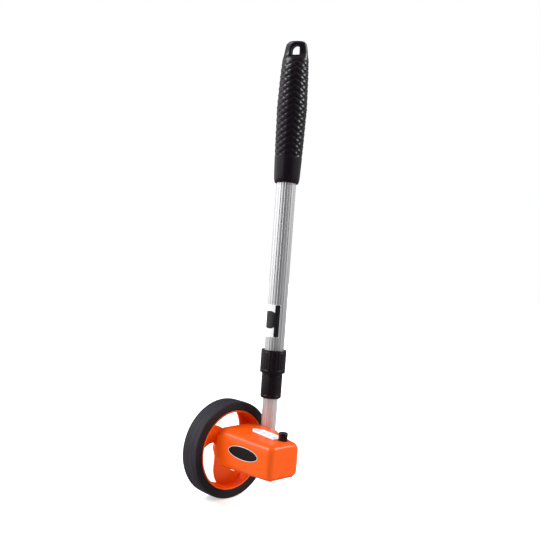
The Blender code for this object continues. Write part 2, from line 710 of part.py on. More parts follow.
def add_posts(housing, root):
    """Posts that the base cover's screws bite into."""
    for i, (x, y) in enumerate(post_places()):
        top = body_top(y) - BODY_WALL / 2
        low = body_bottom(y) + COVER_THICKNESS / 2
        post = prism(f"post_{i + 1}", circle(POST_RADIUS), low, top)
        add_boolean(housing, make_cutter(f"post_{i + 1}", post, root, (x, y, 0.0)), "UNION")


def cut_top(housing, root):
    """Window opening and button hole in the top."""
    turn = (BODY_SLOPE, 0.0, 0.0)
    opening = prism("window_hole", window_outline(GAP), -BODY_WALL - OVERRUN, OVERRUN)
    place = (COUNTER_X, WINDOW_MIDDLE, WINDOW_TOP)
    add_boolean(housing, make_cutter("window_hole", opening, root, place, turn))
    outline = circle(BUTTON_RADIUS + RUN_GAP, TURNED_FACES)
    hole = prism("button_hole", outline, -BODY_WALL - OVERRUN, OVERRUN)
    add_boolean(housing, make_cutter("button_hole", hole, root, (COUNTER_X, BUTTON_CENTRE, BUTTON_SEAT)))
    pocket = prism("badge_pocket", badge_outline(GAP), -BADGE_POCKET, OVERRUN)
    add_boolean(housing, make_cutter("badge_pocket", pocket, root, badge_place(), badge_turn()))


def cut_bores(housing, root):
    """Bush seat, pole bore, clamp screw hole and cover screw holes."""
    seat = prism("bush_seat", circle(AXLE_RADIUS + RUN_GAP + BUSH_WALL + GAP, TURNED_FACES),
                 BODY_START - OVERRUN, BODY_START + BODY_END_WALL + OVERRUN)
    add_boolean(housing, make_cutter("bush_seat", seat, root, rotation=(-math.pi / 2, 0.0, 0.0)))
    round_bore = circle(LOWER_TUBE_RADIUS + GAP, TURNED_FACES)
    bore = prism("pole_bore", round_bore, tube_foot() - GAP, START_TOP + OVERRUN)
    add_boolean(housing, make_cutter("pole_bore", bore, root, (POLE_X, POLE_Y, 0.0)))
    head = SOCKET_SCREW_HEAD + GAP
    shank = SOCKET_SCREW_RADIUS + GAP
    start = LOWER_TUBE_RADIUS - OVERRUN / 2
    neck = clamp_screw_neck()
    profile = [(shank, start), (shank, neck), (head, neck), (head, SOCKET_RADIUS + OVERRUN)]
    hole = turned_solid("clamp_hole", profile, SMALL_FACES)
    turn = (0.0, -math.pi / 2, 0.0)
    add_boolean(housing, make_cutter("clamp_hole", hole, root, clamp_screw_place(), turn))
    for i, (x, y) in enumerate(post_places()):
        low = body_bottom(y)
        high = low + SCREW_RECESS + SCREW_LENGTH + GAP
        pilot = prism(f"pilot_{i + 1}", circle(SCREW_RADIUS + GAP), low, high)
        add_boolean(housing, make_cutter(f"pilot_{i + 1}", pilot, root, (x, y, 0.0)))


def build_base_cover(root, materials):
    """Plate that closes the housing from below and carries the counter frame on two pads."""
    outer = body_loft("base_cover", BODY_START, BODY_END, 0.0, START_FILLET, END_FILLET)
    cover = make_object("base_cover", outer, root, materials["orange"])
    add_boolean(cover, make_cutter("cover_shape", cover_wedge("cover_shape", 0.0), root), "INTERSECT")
    for i, y in enumerate((FRAME_START, FRAME_END - FRAME_PAD_LENGTH)):
        low = (FRAME_PAD_LEFT, y, body_bottom(y) + COVER_THICKNESS / 2)
        high = (FRAME_RIGHT, y + FRAME_PAD_LENGTH, FRAME_FLOOR - GAP)
        pad = box(f"frame_pad_{i + 1}", low, high)
        add_boolean(cover, make_cutter(f"frame_pad_{i + 1}", pad, root), "UNION")
    for i, (x, y) in enumerate(post_places()):
        low = body_bottom(y)
        head = SCREW_HEAD_RADIUS + GAP
        shank = SCREW_RADIUS + GAP
        seat = low + SCREW_RECESS + SCREW_HEAD_HEIGHT + GAP
        high = low + COVER_THICKNESS + OVERRUN
        profile = [(head, low - OVERRUN), (head, seat), (shank, seat), (shank, high)]
        hole = turned_solid(f"cover_hole_{i + 1}", profile, SMALL_FACES)
        add_boolean(cover, make_cutter(f"cover_hole_{i + 1}", hole, root, (x, y, 0.0)))


def build_screws(root, materials):
    """Four slotted screws that hold the base cover."""
    head_top = SCREW_HEAD_HEIGHT
    profile = [
        (SCREW_HEAD_RADIUS, 0.0), (SCREW_HEAD_RADIUS, head_top),
        (SCREW_RADIUS, head_top), (SCREW_RADIUS, SCREW_LENGTH),
    ]
    for i, (x, y) in enumerate(post_places()):
        name = f"cover_screw_{i + 1}"
        place = (x, y, body_bottom(y) + SCREW_RECESS)
        screw = make_object(name, turned_solid(name, profile, SMALL_FACES), root, materials["steel"], place)
        half = SCREW_SLOT_WIDTH / 2
        reach = SCREW_HEAD_RADIUS + OVERRUN
        slot = box(f"screw_slot_{i + 1}", (-reach, -half, -OVERRUN), (reach, half, SCREW_SLOT_DEPTH))
        add_boolean(screw, make_cutter(f"screw_slot_{i + 1}", slot, root, place))


def badge_outline(margin):
    """Long oval of the badge, in its own plane."""
    across = BADGE_LENGTH / 2 + margin
    up = BADGE_HEIGHT / 2 + margin
    return [(across * x, up * y) for x, y in circle(1.0, TURNED_FACES)]


def badge_place():
    """Middle of the badge on the housing's front face."""
    return (body_half(BADGE_CENTRE), BADGE_CENTRE, BADGE_RISE)


def badge_turn():
    """Turn that lays the badge's plane on the tapered front face."""
    facing = Matrix(((0, 0, 1), (1, 0, 0), (0, 1, 0)))
    return (Matrix.Rotation(BODY_TAPER, 3, "Z") @ facing).to_euler()


def build_badge(root, materials):
    """Blank oval badge in its pocket on the front face."""
    low = GAP - BADGE_POCKET
    mesh = prism("badge", badge_outline(0.0), low, low + BADGE_THICKNESS)
    make_object("badge", mesh, root, materials["black"], badge_place(), badge_turn())


def build_window(root, materials):
    """Clear lens in the top, and the mask under it with one slot for each drum."""
    turn = (BODY_SLOPE, 0.0, 0.0)
    place = (COUNTER_X, WINDOW_MIDDLE, WINDOW_TOP)
    lens = prism("window_lens", window_outline(0.0), GAP - MASK_DEPTH, 0.0)
    make_object("window_lens", lens, root, materials["clear"], place, turn)
    high = -MASK_DEPTH
    mask_mesh = prism("counter_mask", window_outline(MASK_MARGIN), high - MASK_THICKNESS, high)
    mask = make_object("counter_mask", mask_mesh, root, materials["white"], place, turn)
    for i in range(DRUM_COUNT):
        y = drum_start(i) + drum_rim_offset(i) + DRUM_RIM_WIDTH / 2 - WINDOW_MIDDLE
        half_x = MASK_SLOT_WIDTH / 2
        half_y = DRUM_RIM_WIDTH * MASK_SLOT_SHARE / 2
        slot = box(f"mask_slot_{i + 1}", (-half_x, y - half_y, high - MASK_THICKNESS - OVERRUN),
                   (half_x, y + half_y, high + OVERRUN))
        add_boolean(mask, make_cutter(f"mask_slot_{i + 1}", slot, root, place, turn))


# Counter, inside the housing

def pinion_place():
    """Axis of the transfer pinions: x and z."""
    lean = math.radians(PINION_LEAN)
    return (COUNTER_X - PINION_DISTANCE * math.sin(lean), COUNTER_Z - PINION_DISTANCE * math.cos(lean))


def build_frame(root, materials):
    """U-shaped steel frame: two plates that carry the shafts, a base, and a shelf for the spring."""
    rings = []
    for y in (FRAME_START, FRAME_END):
        top = frame_top(y)
        rings.append([(FRAME_LEFT, y, FRAME_FLOOR), (FRAME_RIGHT, y, FRAME_FLOOR),
                      (FRAME_RIGHT, y, top), (FRAME_LEFT, y, top)])
    frame = make_object("counter_frame", loft_mesh("counter_frame", rings), root, materials["steel"])
    inside = box("frame_inside", (FRAME_LEFT - OVERRUN, FRAME_START + FRAME_PLATE, FRAME_FLOOR + FRAME_BASE),
                 (FRAME_RIGHT + OVERRUN, FRAME_END - FRAME_PLATE, START_TOP + OVERRUN))
    add_boolean(frame, make_cutter("frame_inside", inside, root))
    notch_x = COUNTER_X + DRUM_RADIUS + COMB_GAP - RUN_GAP
    notch_z = BUTTON_FLANGE_TOP - BUTTON_FLANGE_THICKNESS - COMB_HEIGHT - BUTTON_TRAVEL - 2 * GAP
    notch = box("comb_notch", (notch_x, FRAME_END - FRAME_PLATE - OVERRUN, notch_z),
                (FRAME_RIGHT + OVERRUN, FRAME_END + OVERRUN, START_TOP + OVERRUN))
    add_boolean(frame, make_cutter("comb_notch", notch, root))
    shelf_top = BUTTON_FLANGE_TOP - SHELF_DEPTH
    low_corner = (COUNTER_X - SHELF_HALF_WIDTH, FRAME_END - FRAME_PLATE / 2, shelf_top - SHELF_THICKNESS)
    high_corner = (COUNTER_X + SHELF_HALF_WIDTH, BUTTON_CENTRE + SHELF_HALF_WIDTH, shelf_top)
    shelf = box("spring_shelf", low_corner, high_corner)
    add_boolean(frame, make_cutter("spring_shelf", shelf, root), "UNION")
    turn = (-math.pi / 2, 0.0, 0.0)
    low = FRAME_START - OVERRUN
    high = FRAME_END + OVERRUN
    counter = prism("counter_bore", circle(COUNTER_SHAFT_RADIUS + RUN_GAP), low, high)
    add_boolean(frame, make_cutter("counter_bore", counter, root, (COUNTER_X, 0.0, COUNTER_Z), turn))
    pinion_x, pinion_z = pinion_place()
    pinion = prism("pinion_bore", circle(PINION_SHAFT_RADIUS + GAP), low, high)
    add_boolean(frame, make_cutter("pinion_bore", pinion, root, (pinion_x, 0.0, pinion_z), turn))
    bush = prism("frame_bush_seat", circle(AXLE_RADIUS + RUN_GAP + BUSH_WALL + GAP, TURNED_FACES),
                 low, FRAME_START + FRAME_PLATE + OVERRUN)
    add_boolean(frame, make_cutter("frame_bush_seat", bush, root, (0.0, 0.0, 0.0), turn))


def frame_top(y):
    """Top of the frame's plates at y, just under the mask."""
    drop = (MASK_DEPTH + MASK_THICKNESS + GAP) / math.cos(BODY_SLOPE)
    return WINDOW_TOP + (y - WINDOW_MIDDLE) * math.tan(BODY_SLOPE) - drop


def build_bush(name, axis, materials, low, high, flange_low):
    """Flanged bush that the axle turns in."""
    bore = AXLE_RADIUS + RUN_GAP
    radius = bore + BUSH_WALL
    flange = radius + BUSH_FLANGE
    if flange_low:
        profile = [(bore, high), (radius, high), (radius, low), (flange, low),
                   (flange, low - BUSH_FLANGE_THICKNESS), (bore, low - BUSH_FLANGE_THICKNESS)]
    else:
        profile = [(bore, low), (radius, low), (radius, high), (flange, high),
                   (flange, high + BUSH_FLANGE_THICKNESS), (bore, high + BUSH_FLANGE_THICKNESS)]
    make_object(name, turned_ring(name, profile), axis, materials["brass"])


def build_bushes(axis, materials):
    """One bush in the housing's wheel-side wall, one in the frame."""
    build_bush("axle_bush_outer", axis, materials, BODY_START, BODY_START + BODY_END_WALL + GAP, False)
    build_bush("axle_bush_inner", axis, materials, FRAME_START - GAP, FRAME_START + FRAME_PLATE, True)


def drum_start(index):
    """Wheel-side edge of a drum's own space."""
    return FRAME_START + FRAME_PLATE + DRUM_SPACING / 2 + index * DRUM_PITCH


def drum_rim_offset(index):
    """The first drum has no gear section in front of its rim."""
    return 0.0 if index == 0 else DRUM_GEAR_WIDTH


def build_drums(axes, materials):
    """Digit drums; every one but the first has a gear that its transfer pinion turns."""
    names = ("drum_inches", "drum_feet", "drum_tens", "drum_hundreds")
    sleeve = DRUM_GEAR_RADIUS - 2 * PINION_RADIUS / PINION_TEETH * DEDENDUM_SHARE - PINION_RADIUS / 2
    for i in range(DRUM_COUNT):
        bore = COUNTER_SHAFT_RADIUS + (GAP if i == 0 else RUN_GAP)
        low = drum_start(i)
        rim_low = low + drum_rim_offset(i)
        rim_high = low + DRUM_GEAR_WIDTH + DRUM_RIM_WIDTH
        end = rim_high + (DRUM_SLEEVE_WIDTH if i < DRUM_COUNT - 1 else 0.0)
        profile = [(bore, rim_low), (DRUM_RADIUS, rim_low), (DRUM_RADIUS, rim_high), (sleeve, rim_high),
                   (sleeve, end), (bore, end)]
        if i == DRUM_COUNT - 1:
            profile = profile[:3] + [(bore, rim_high)]
        drum = make_object(names[i], turned_ring(names[i], profile), axes[i], materials["white"])
        if i > 0:
            add_drum_gear(drum, axes[i], low, rim_low)


def add_drum_gear(drum, axis, low, rim_low):
    """Gear section on a drum's wheel-side face, with a gap facing the pinion."""
    step = 360 / DRUM_GEAR_TEETH
    outline = gear_outline(DRUM_GEAR_TEETH, DRUM_GEAR_RADIUS, pinion_angle() + step / 2)
    gear = prism(drum.name + "_gear", outline, low, rim_low + GAP)
    add_boolean(drum, make_cutter(drum.name + "_gear", gear, axis), "UNION")
    hole = prism(drum.name + "_bore", circle(COUNTER_SHAFT_RADIUS + RUN_GAP, TURNED_FACES),
                 low - OVERRUN, rim_low + OVERRUN)
    add_boolean(drum, make_cutter(drum.name + "_bore", hole, axis))


def pinion_angle():
    """Direction from the counter shaft to the pinion shaft, in degrees in the axle's own frame."""
    pinion_x, pinion_z = pinion_place()
    return math.degrees(math.atan2(COUNTER_Z - pinion_z, pinion_x - COUNTER_X))


def build_counter_input(axis, materials):
    """Counter gear, with a gap facing the axle, and the shaft that it turns."""
    step = 360 / DRIVE_TEETH
    outline = gear_outline(DRIVE_TEETH, INPUT_PITCH_RADIUS, centre_line_angle() + 180 + step / 2)
    low = GEAR_CENTRE - DRIVE_GEAR_WIDTH / 2
    build_gear("counter_gear", axis, materials["brass"], outline, COUNTER_SHAFT_RADIUS + GAP, low,
               low + DRIVE_GEAR_WIDTH)
    shaft = prism("counter_shaft", circle(COUNTER_SHAFT_RADIUS), low - AXLE_TAIL, FRAME_END + AXLE_TAIL)
    make_object("counter_shaft", shaft, axis, materials["steel"])


def build_pinions(root, axes, materials):
    """Transfer pinions between neighbouring drums, on their fixed shaft."""
    pinion_x, pinion_z = pinion_place()
    start = FRAME_START - AXLE_TAIL
    shaft = prism("pinion_shaft", circle(PINION_SHAFT_RADIUS), start, FRAME_END + AXLE_TAIL)
    place = (pinion_x, 0.0, pinion_z)
    make_object("pinion_shaft", shaft, root, materials["steel"], place, (-math.pi / 2, 0.0, 0.0))
    outline = gear_outline(PINION_TEETH, PINION_RADIUS, pinion_angle() + 180)
    for i, axis in enumerate(axes):
        high = drum_start(i + 1) + DRUM_GEAR_WIDTH - GAP
        low = high - DRUM_GEAR_WIDTH - DRUM_SLEEVE_WIDTH + GAP
        build_gear(f"transfer_pinion_{i + 1}", axis, materials["white"], outline,
                   PINION_SHAFT_RADIUS + RUN_GAP, low, high)


# Reset

def build_reset(axis, root, materials):
    """Button, the comb it pushes down beside the drums, and the spring that lifts them."""
    flange_low = BUTTON_FLANGE_TOP - BUTTON_FLANGE_THICKNESS
    top = BUTTON_SEAT + BUTTON_PROUD
    flange = BUTTON_RADIUS + BUTTON_FLANGE
    profile = [
        (BUTTON_STEM_RADIUS, flange_low - BUTTON_STEM_LENGTH), (BUTTON_STEM_RADIUS, flange_low),
        (flange, flange_low), (flange, BUTTON_FLANGE_TOP), (BUTTON_RADIUS, BUTTON_FLANGE_TOP),
        (BUTTON_RADIUS, top - BUTTON_EDGE), (BUTTON_RADIUS - BUTTON_EDGE, top),
    ]
    make_object("reset_button", turned_solid("reset_button", profile), axis, materials["black"])
    build_comb(axis, materials, flange_low)
    build_spring(root, materials, flange_low)


def build_comb(axis, materials, flange_low):
    """Flat bar beside the drums with a finger for each, tied to the button by an arm."""
    near = DRUM_RADIUS + COMB_GAP
    far = near + COMB_FINGER + COMB_THICKNESS
    high = flange_low - GAP
    low = high - COMB_HEIGHT
    start = drum_start(0) + GAP - BUTTON_CENTRE
    end = BUTTON_STEM_RADIUS + 2 * COMB_ARM
    bar = box("reset_comb", (near + COMB_FINGER, start, low), (far, end, high))
    comb = make_object("reset_comb", bar, axis, materials["black"])
    inside = far - COMB_THICKNESS / 2
    arm = box("comb_arm", (-BUTTON_STEM_RADIUS - COMB_ARM, -end, high - COMB_ARM), (inside, end, high))
    add_boolean(comb, make_cutter("comb_arm", arm, axis), "UNION")
    for i in range(DRUM_COUNT):
        middle = drum_start(i) + drum_rim_offset(i) + DRUM_RIM_WIDTH / 2 - BUTTON_CENTRE
        finger = box(f"comb_finger_{i + 1}", (near, middle - COMB_FINGER, low),
                     (inside, middle + COMB_FINGER, low + COMB_FINGER_HEIGHT))
        add_boolean(comb, make_cutter(f"comb_finger_{i + 1}", finger, axis), "UNION")
    hole = prism("comb_hole", circle(BUTTON_STEM_RADIUS + GAP), high - COMB_ARM - OVERRUN, high + OVERRUN)
    add_boolean(comb, make_cutter("comb_hole", hole, axis))


def build_spring(root, materials, flange_low):
    """Coil spring round the button's stem, between the comb's arm and the frame's shelf."""
    low = BUTTON_FLANGE_TOP - SHELF_DEPTH + GAP + SPRING_WIRE_RADIUS
    high = flange_low - GAP - COMB_ARM - GAP - SPRING_WIRE_RADIUS
    per_turn = 10
    count = SPRING_TURNS * per_turn + 1
    curve = bpy.data.curves.new("reset_spring", "CURVE")
    curve.dimensions = "3D"
    curve.bevel_depth = SPRING_WIRE_RADIUS
    curve.bevel_resolution = 1
    curve.use_fill_caps = True
    spline = curve.splines.new("POLY")
    spline.points.add(count - 1)
    for i, point in enumerate(spline.points):
        angle = 2 * math.pi * i / per_turn
        x = SPRING_RADIUS * math.cos(angle)
        y = SPRING_RADIUS * math.sin(angle)
        point.co = (x, y, low + (high - low) * i / (count - 1), 1.0)
    make_object("reset_spring", curve, root, materials["steel"], (COUNTER_X, BUTTON_CENTRE, 0.0))


# Pole, in the pole's own frame: Z up its axis

def tube_foot():
    """Height of the lower tube's foot in its socket."""
    return body_bottom(POLE_Y) + COVER_THICKNESS + GAP + SOCKET_FLOOR + GAP


def fluted_outline(radius):
    """Round outline with shallow lengthwise grooves."""
    step = 360 / TUBE_FLUTES
    land = FLUTE_LAND_SHARE * step / 2
    points = []
    for i in range(TUBE_FLUTES):
        points.append(polar(radius, i * step - land))
        points.append(polar(radius, i * step + land))
        points.append(polar(radius - FLUTE_DEPTH, (i + 0.5) * step))
    return points


def build_tube(name, axis, material, radius, low, high):
    """Thin fluted tube."""
    tube = make_object(name, prism(name, fluted_outline(radius), low, high), axis, material)
    bore = prism(name + "_bore", circle(radius - TUBE_WALL, TURNED_FACES), low - OVERRUN, high + OVERRUN)
    add_boolean(tube, make_cutter(name + "_bore", bore, axis))
    return tube


def build_plug(name, axis, materials, radius, top):
    """Plastic plug on a tube's upper end that guides it in the next tube."""
    spigot = radius - TUBE_WALL - GAP
    inner = spigot - TUBE_WALL
    flange = radius
    foot = top - PLUG_SPIGOT
    seat = top + GAP
    profile = [
        (inner, foot), (spigot, foot), (spigot, seat), (flange, seat),
        (flange, seat + PLUG_FLANGE), (inner, seat + PLUG_FLANGE),
    ]
    make_object(name, turned_ring(name, profile), axis, materials["black"])


def build_collar(name, axis, materials, radius, low, length, small_bore, large_bore, rounding):
    """Twist collar: a narrow mouth for the inner tube, and a wide bore for the collet and outer tube."""
    top = low + length
    edge = COLLAR_EDGE
    mouth = small_bore + GAP
    seat = large_bore + GAP
    step = low + COLLAR_MOUTH
    profile = [(mouth, low)]
    for degrees in (0, 30, 60, 90):
        across, down = polar(rounding, degrees - 90)
        profile.append((radius - rounding + across, low + rounding + down))
    profile += [(radius, top - edge), (radius - edge / 2, top), (seat, top), (seat, step), (mouth, step)]
    make_object(name, turned_ring(name, profile), axis, materials["black"])


def build_collet(name, axis, materials, inner_radius, outer_radius, low):
    """Split ring that the collar squeezes onto the inner tube."""
    inner = inner_radius + GAP
    steps = 20
    half = (360 - COLLET_SPLIT) / 2
    angles = [-half + 2 * half * i / steps for i in range(steps + 1)]
    outline = [polar(outer_radius, angle) for angle in angles]
    outline += [polar(inner, angle) for angle in reversed(angles)]
    make_object(name, prism(name, outline, low, low + COLLET_LENGTH), axis, materials["white"])


def clamp_screw_place():
    """Clamp screw's origin, on the pole's axis."""
    return (POLE_X, POLE_Y, tube_foot() + SOCKET_SCREW_RISE)


def clamp_screw_neck():
    """Distance from the pole's axis to the underside of the clamp screw's head."""
    return SOCKET_RADIUS - SOCKET_SCREW_HEAD_HEIGHT / 2


def build_clamp_screw(root, materials):
    """Screw through the socket's back that bears on the lower tube."""
    start = LOWER_TUBE_RADIUS + GAP
    neck = clamp_screw_neck() + GAP
    profile = [
        (SOCKET_SCREW_RADIUS, start), (SOCKET_SCREW_RADIUS, neck),
        (SOCKET_SCREW_HEAD, neck), (SOCKET_SCREW_HEAD, neck + SOCKET_SCREW_HEAD_HEIGHT),
    ]
    screw = turned_solid("pole_clamp_screw", profile, SMALL_FACES)
    turn = (0.0, -math.pi / 2, 0.0)
    make_object("pole_clamp_screw", screw, root, materials["steel"], clamp_screw_place(), turn)


def build_label(axis, materials):
    """Blank label that wraps part of the way round the outer tube."""
    inner = OUTER_TUBE_RADIUS + GAP
    outer = inner + LABEL_THICKNESS
    steps = 10
    angles = [LABEL_ANGLE * (i / steps - 0.5) for i in range(steps + 1)]
    outline = [polar(outer, angle) for angle in angles]
    outline += [polar(inner, angle) for angle in reversed(angles)]
    low = UPPER_COLLAR_BOTTOM + UPPER_COLLAR_LENGTH + LABEL_RISE
    label = prism("tube_label", outline, low, low + LABEL_LENGTH)
    make_object("tube_label", label, axis, materials["white"])


def grip_section(share, wide, thin):
    """Round or flattened section of the grip: thin along X, wide along Y."""
    z = GRIP_BOTTOM + GRIP_LENGTH * share
    return [(thin * x, wide * y, z) for x, y in circle(GRIP_RADIUS, TURNED_FACES)]


def hang_hole_outline(margin):
    """Arch with a flat floor, about the hole's middle."""
    half = HANG_HOLE_WIDTH / 2 + margin
    floor = -HANG_HOLE_HEIGHT / 2 - margin
    points = [(half, floor), (half, 0.0)]
    for degrees in (30, 60, 90, 120, 150):
        x, y = polar(1.0, degrees)
        points.append((half * x, -floor * y))
    return points + [(-half, 0.0), (-half, floor)]


def build_grip(axis, materials):
    """Barrel-shaped grip over the outer tube, flattened at the top round its hang hole."""
    table = zip(GRIP_HEIGHT_SHARES, GRIP_WIDE_SHARES, GRIP_THIN_SHARES)
    rings = [grip_section(*shares) for shares in table]
    grip = make_object("grip", loft_mesh("grip", rings), axis, materials["grip"])
    outline = circle(OUTER_TUBE_RADIUS + GAP, TURNED_FACES)
    bore = prism("grip_bore", outline, GRIP_BOTTOM - OVERRUN, GRIP_BORE_TOP)
    add_boolean(grip, make_cutter("grip_bore", bore, axis))
    reach = GRIP_RADIUS + OVERRUN
    throat = HANG_HOLE_THROAT / 2
    rings = []
    for depth in (-reach, -throat, throat, reach):
        margin = (abs(depth) - throat) * HANG_HOLE_FLARE_SHARE
        rings.append([(x, y, depth) for x, y in hang_hole_outline(margin)])
    hole = loft_mesh("hang_hole", rings)
    facing = Matrix(((0, 0, 1), (1, 0, 0), (0, 1, 0))).to_euler()
    middle = GRIP_TOP - HANG_HOLE_TOP - HANG_HOLE_HEIGHT / 2
    add_boolean(grip, make_cutter("hang_hole", hole, axis, (0.0, 0.0, middle), facing))


def build_pole(root, materials):
    """Three tubes, their plugs, collets and collars, the label and the grip."""
    pole = make_empty("pole_axis", (POLE_X, POLE_Y, 0.0), root)
    turn = (0.0, 0.0, math.radians(UPPER_POLE_TURN))
    upper = make_empty("upper_pole_axis", (0.0, 0.0, 0.0), pole, turn)
    metal = materials["aluminium"]
    build_tube("lower_tube", pole, metal, LOWER_TUBE_RADIUS, tube_foot(), LOWER_TUBE_TOP)
    build_tube("middle_tube", pole, metal, MIDDLE_TUBE_RADIUS, MIDDLE_TUBE_FOOT, MIDDLE_TUBE_TOP)
    build_tube("outer_tube", upper, metal, OUTER_TUBE_RADIUS, OUTER_TUBE_FOOT, GRIP_BORE_TOP - GAP)
    build_plug("lower_tube_plug", pole, materials, LOWER_TUBE_RADIUS, LOWER_TUBE_TOP)
    build_plug("middle_tube_plug", pole, materials, MIDDLE_TUBE_RADIUS, MIDDLE_TUBE_TOP)
    build_collar("lower_collar", pole, materials, LOWER_COLLAR_RADIUS, LOWER_COLLAR_BOTTOM,
                 LOWER_COLLAR_LENGTH, LOWER_TUBE_RADIUS, MIDDLE_TUBE_RADIUS, LOWER_COLLAR_ROUND)
    build_collar("upper_collar", upper, materials, UPPER_COLLAR_RADIUS, UPPER_COLLAR_BOTTOM,
                 UPPER_COLLAR_LENGTH, MIDDLE_TUBE_RADIUS, OUTER_TUBE_RADIUS, COLLAR_EDGE)
    build_collet("lower_collet", pole, materials, LOWER_TUBE_RADIUS, MIDDLE_TUBE_RADIUS,
                 LOWER_COLLAR_BOTTOM + COLLET_SEAT)
    build_collet("upper_collet", upper, materials, MIDDLE_TUBE_RADIUS, OUTER_TUBE_RADIUS,
                 UPPER_COLLAR_BOTTOM + COLLET_SEAT)
    build_label(upper, materials)
    build_grip(upper, materials)
    build_clamp_screw(root, materials)


def build_counter(root, turn, materials):
    """Frame, bushes, shafts, drums and pinions, each turning piece on its own axis."""
    build_frame(root, materials)
    place = (COUNTER_X, 0.0, COUNTER_Z)
    drum_axes = [make_empty(f"drum_axis_{i + 1}", place, root, turn) for i in range(DRUM_COUNT)]
    build_counter_input(drum_axes[0], materials)
    build_drums(drum_axes, materials)
    pinion_x, pinion_z = pinion_place()
    pinion_axes = [make_empty(f"pinion_axis_{i + 1}", (pinion_x, 0.0, pinion_z), root, turn)
                   for i in range(DRUM_COUNT - 1)]
    build_pinions(root, pinion_axes, materials)


def main():
    """Build every piece of the measuring wheel."""
    clear_scene()
    materials = make_materials()
    root = make_empty("wheel_centre", (0.0, -MIDDLE_Y, AXLE_HEIGHT))
    turn = (-math.pi / 2, 0.0, 0.0)
    axle_axis = make_empty("axle_axis", (0.0, 0.0, 0.0), root, turn)
    build_tyre(axle_axis, materials)
    build_wheel(axle_axis, materials)
    build_axle(axle_axis, materials)
    build_wheel_fixings(axle_axis, materials)
    build_drive_gear(axle_axis, materials)
    fixed_axis = make_empty("bush_axis", (0.0, 0.0, 0.0), root, turn)
    build_bushes(fixed_axis, materials)
    build_housing(root, materials)
    build_base_cover(root, materials)
    build_screws(root, materials)
    build_badge(root, materials)
    build_window(root, materials)
    build_counter(root, turn, materials)
    reset_axis = make_empty("reset_axis", (COUNTER_X, BUTTON_CENTRE, 0.0), root)
    build_reset(reset_axis, root, materials)
    build_pole(root, materials)


main()
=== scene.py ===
# %% [markdown]
# A pocket measuring wheel with a telescoping pole. The solids come from a CAD
# pack, which fixes every size and joint. This file dresses them: finer
# surfaces, real finishes, light and a camera. Loading the pack first means
# that each new piece can be set on the solid that carries it.

# %% Load the frame
import json
import math

import bmesh
import bpy
import numpy as np
from mathutils import Matrix, Vector


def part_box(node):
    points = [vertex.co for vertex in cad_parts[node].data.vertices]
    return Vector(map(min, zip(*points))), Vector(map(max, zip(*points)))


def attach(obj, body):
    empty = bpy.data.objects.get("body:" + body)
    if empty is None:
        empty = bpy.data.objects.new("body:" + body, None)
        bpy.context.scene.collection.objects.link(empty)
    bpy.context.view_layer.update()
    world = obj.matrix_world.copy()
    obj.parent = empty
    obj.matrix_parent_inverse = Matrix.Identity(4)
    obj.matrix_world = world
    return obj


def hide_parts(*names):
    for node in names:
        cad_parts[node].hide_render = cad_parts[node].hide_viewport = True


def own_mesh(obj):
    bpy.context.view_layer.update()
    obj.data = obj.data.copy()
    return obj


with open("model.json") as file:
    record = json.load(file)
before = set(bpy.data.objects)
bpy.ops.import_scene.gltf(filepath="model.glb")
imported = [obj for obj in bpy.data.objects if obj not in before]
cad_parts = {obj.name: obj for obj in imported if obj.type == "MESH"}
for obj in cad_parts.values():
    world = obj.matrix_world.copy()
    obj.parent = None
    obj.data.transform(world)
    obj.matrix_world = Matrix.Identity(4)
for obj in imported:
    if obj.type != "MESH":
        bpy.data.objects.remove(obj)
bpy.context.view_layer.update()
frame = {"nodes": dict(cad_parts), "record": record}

# %% [markdown]
# Two axes carry nearly everything that shows: the axle, which runs along Y,
# and the pole, which runs along Z. Both are read from the solids' boxes, so
# they are where the CAD has them. The upper pole is turned about its own axis,
# and its grip and label face that way.

# %% The two axes
MM = 0.001
UPPER_TURN = math.radians(28)


def box_of(node):
    """Lowest and highest corner of a solid, as arrays."""
    return tuple(np.array(corner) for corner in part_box(node))


tyre_low, tyre_high = box_of("tyre")
AXLE = (tyre_low + tyre_high) / 2
pole_low, pole_high = box_of("lower_tube")
POLE = np.array([*(pole_low + pole_high)[:2] / 2, AXLE[2]])
print("axle at", AXLE.round(4), "pole at", POLE.round(4))

# %% [markdown]
# The photograph looks along the axle from the counter's side, turned about
# 46 degrees off it, from a little above the wheel. The lens and place were
# fitted to the wheel's ellipses and to the housing's edges. A camera looks
# along its own -Z, so the third column of its matrix is the view direction
# turned round, and the fourth is where it stands.

# %% Camera
RIGHT = (-0.72235, 0.68756, 0.07403)
UP = (0.04802, -0.05692, 0.99722)
FORWARD = (-0.68986, -0.72389, -0.00810)
FROM_AXLE = (0.45178, 0.51733, 0.18757)
camera_data = bpy.data.cameras.new("camera")
camera_data.lens = 45.39
camera_data.sensor_width = 36.0
camera_data.clip_start = 0.01


def add_object(name, data):
    """A new object in the scene, at the origin."""
    made = bpy.data.objects.new(name, data)
    bpy.context.scene.collection.objects.link(made)
    return made


camera = add_object("camera", camera_data)
matrix_rows = [(RIGHT[i], UP[i], -FORWARD[i], AXLE[i] + FROM_AXLE[i]) for i in range(3)]
camera.matrix_world = Matrix([*matrix_rows, (0.0, 0.0, 0.0, 1.0)])
bpy.context.scene.camera = camera
print("camera", [round(value, 3) for value in camera.location], "lens", camera_data.lens)

# %% [markdown]
# A finish here is one Principled shader and the nodes that vary it. Typing
# nodes and links by hand hides the sums, so a small class wraps an output
# socket: adding, subtracting or multiplying two of them, or one and a number,
# adds the Math node.

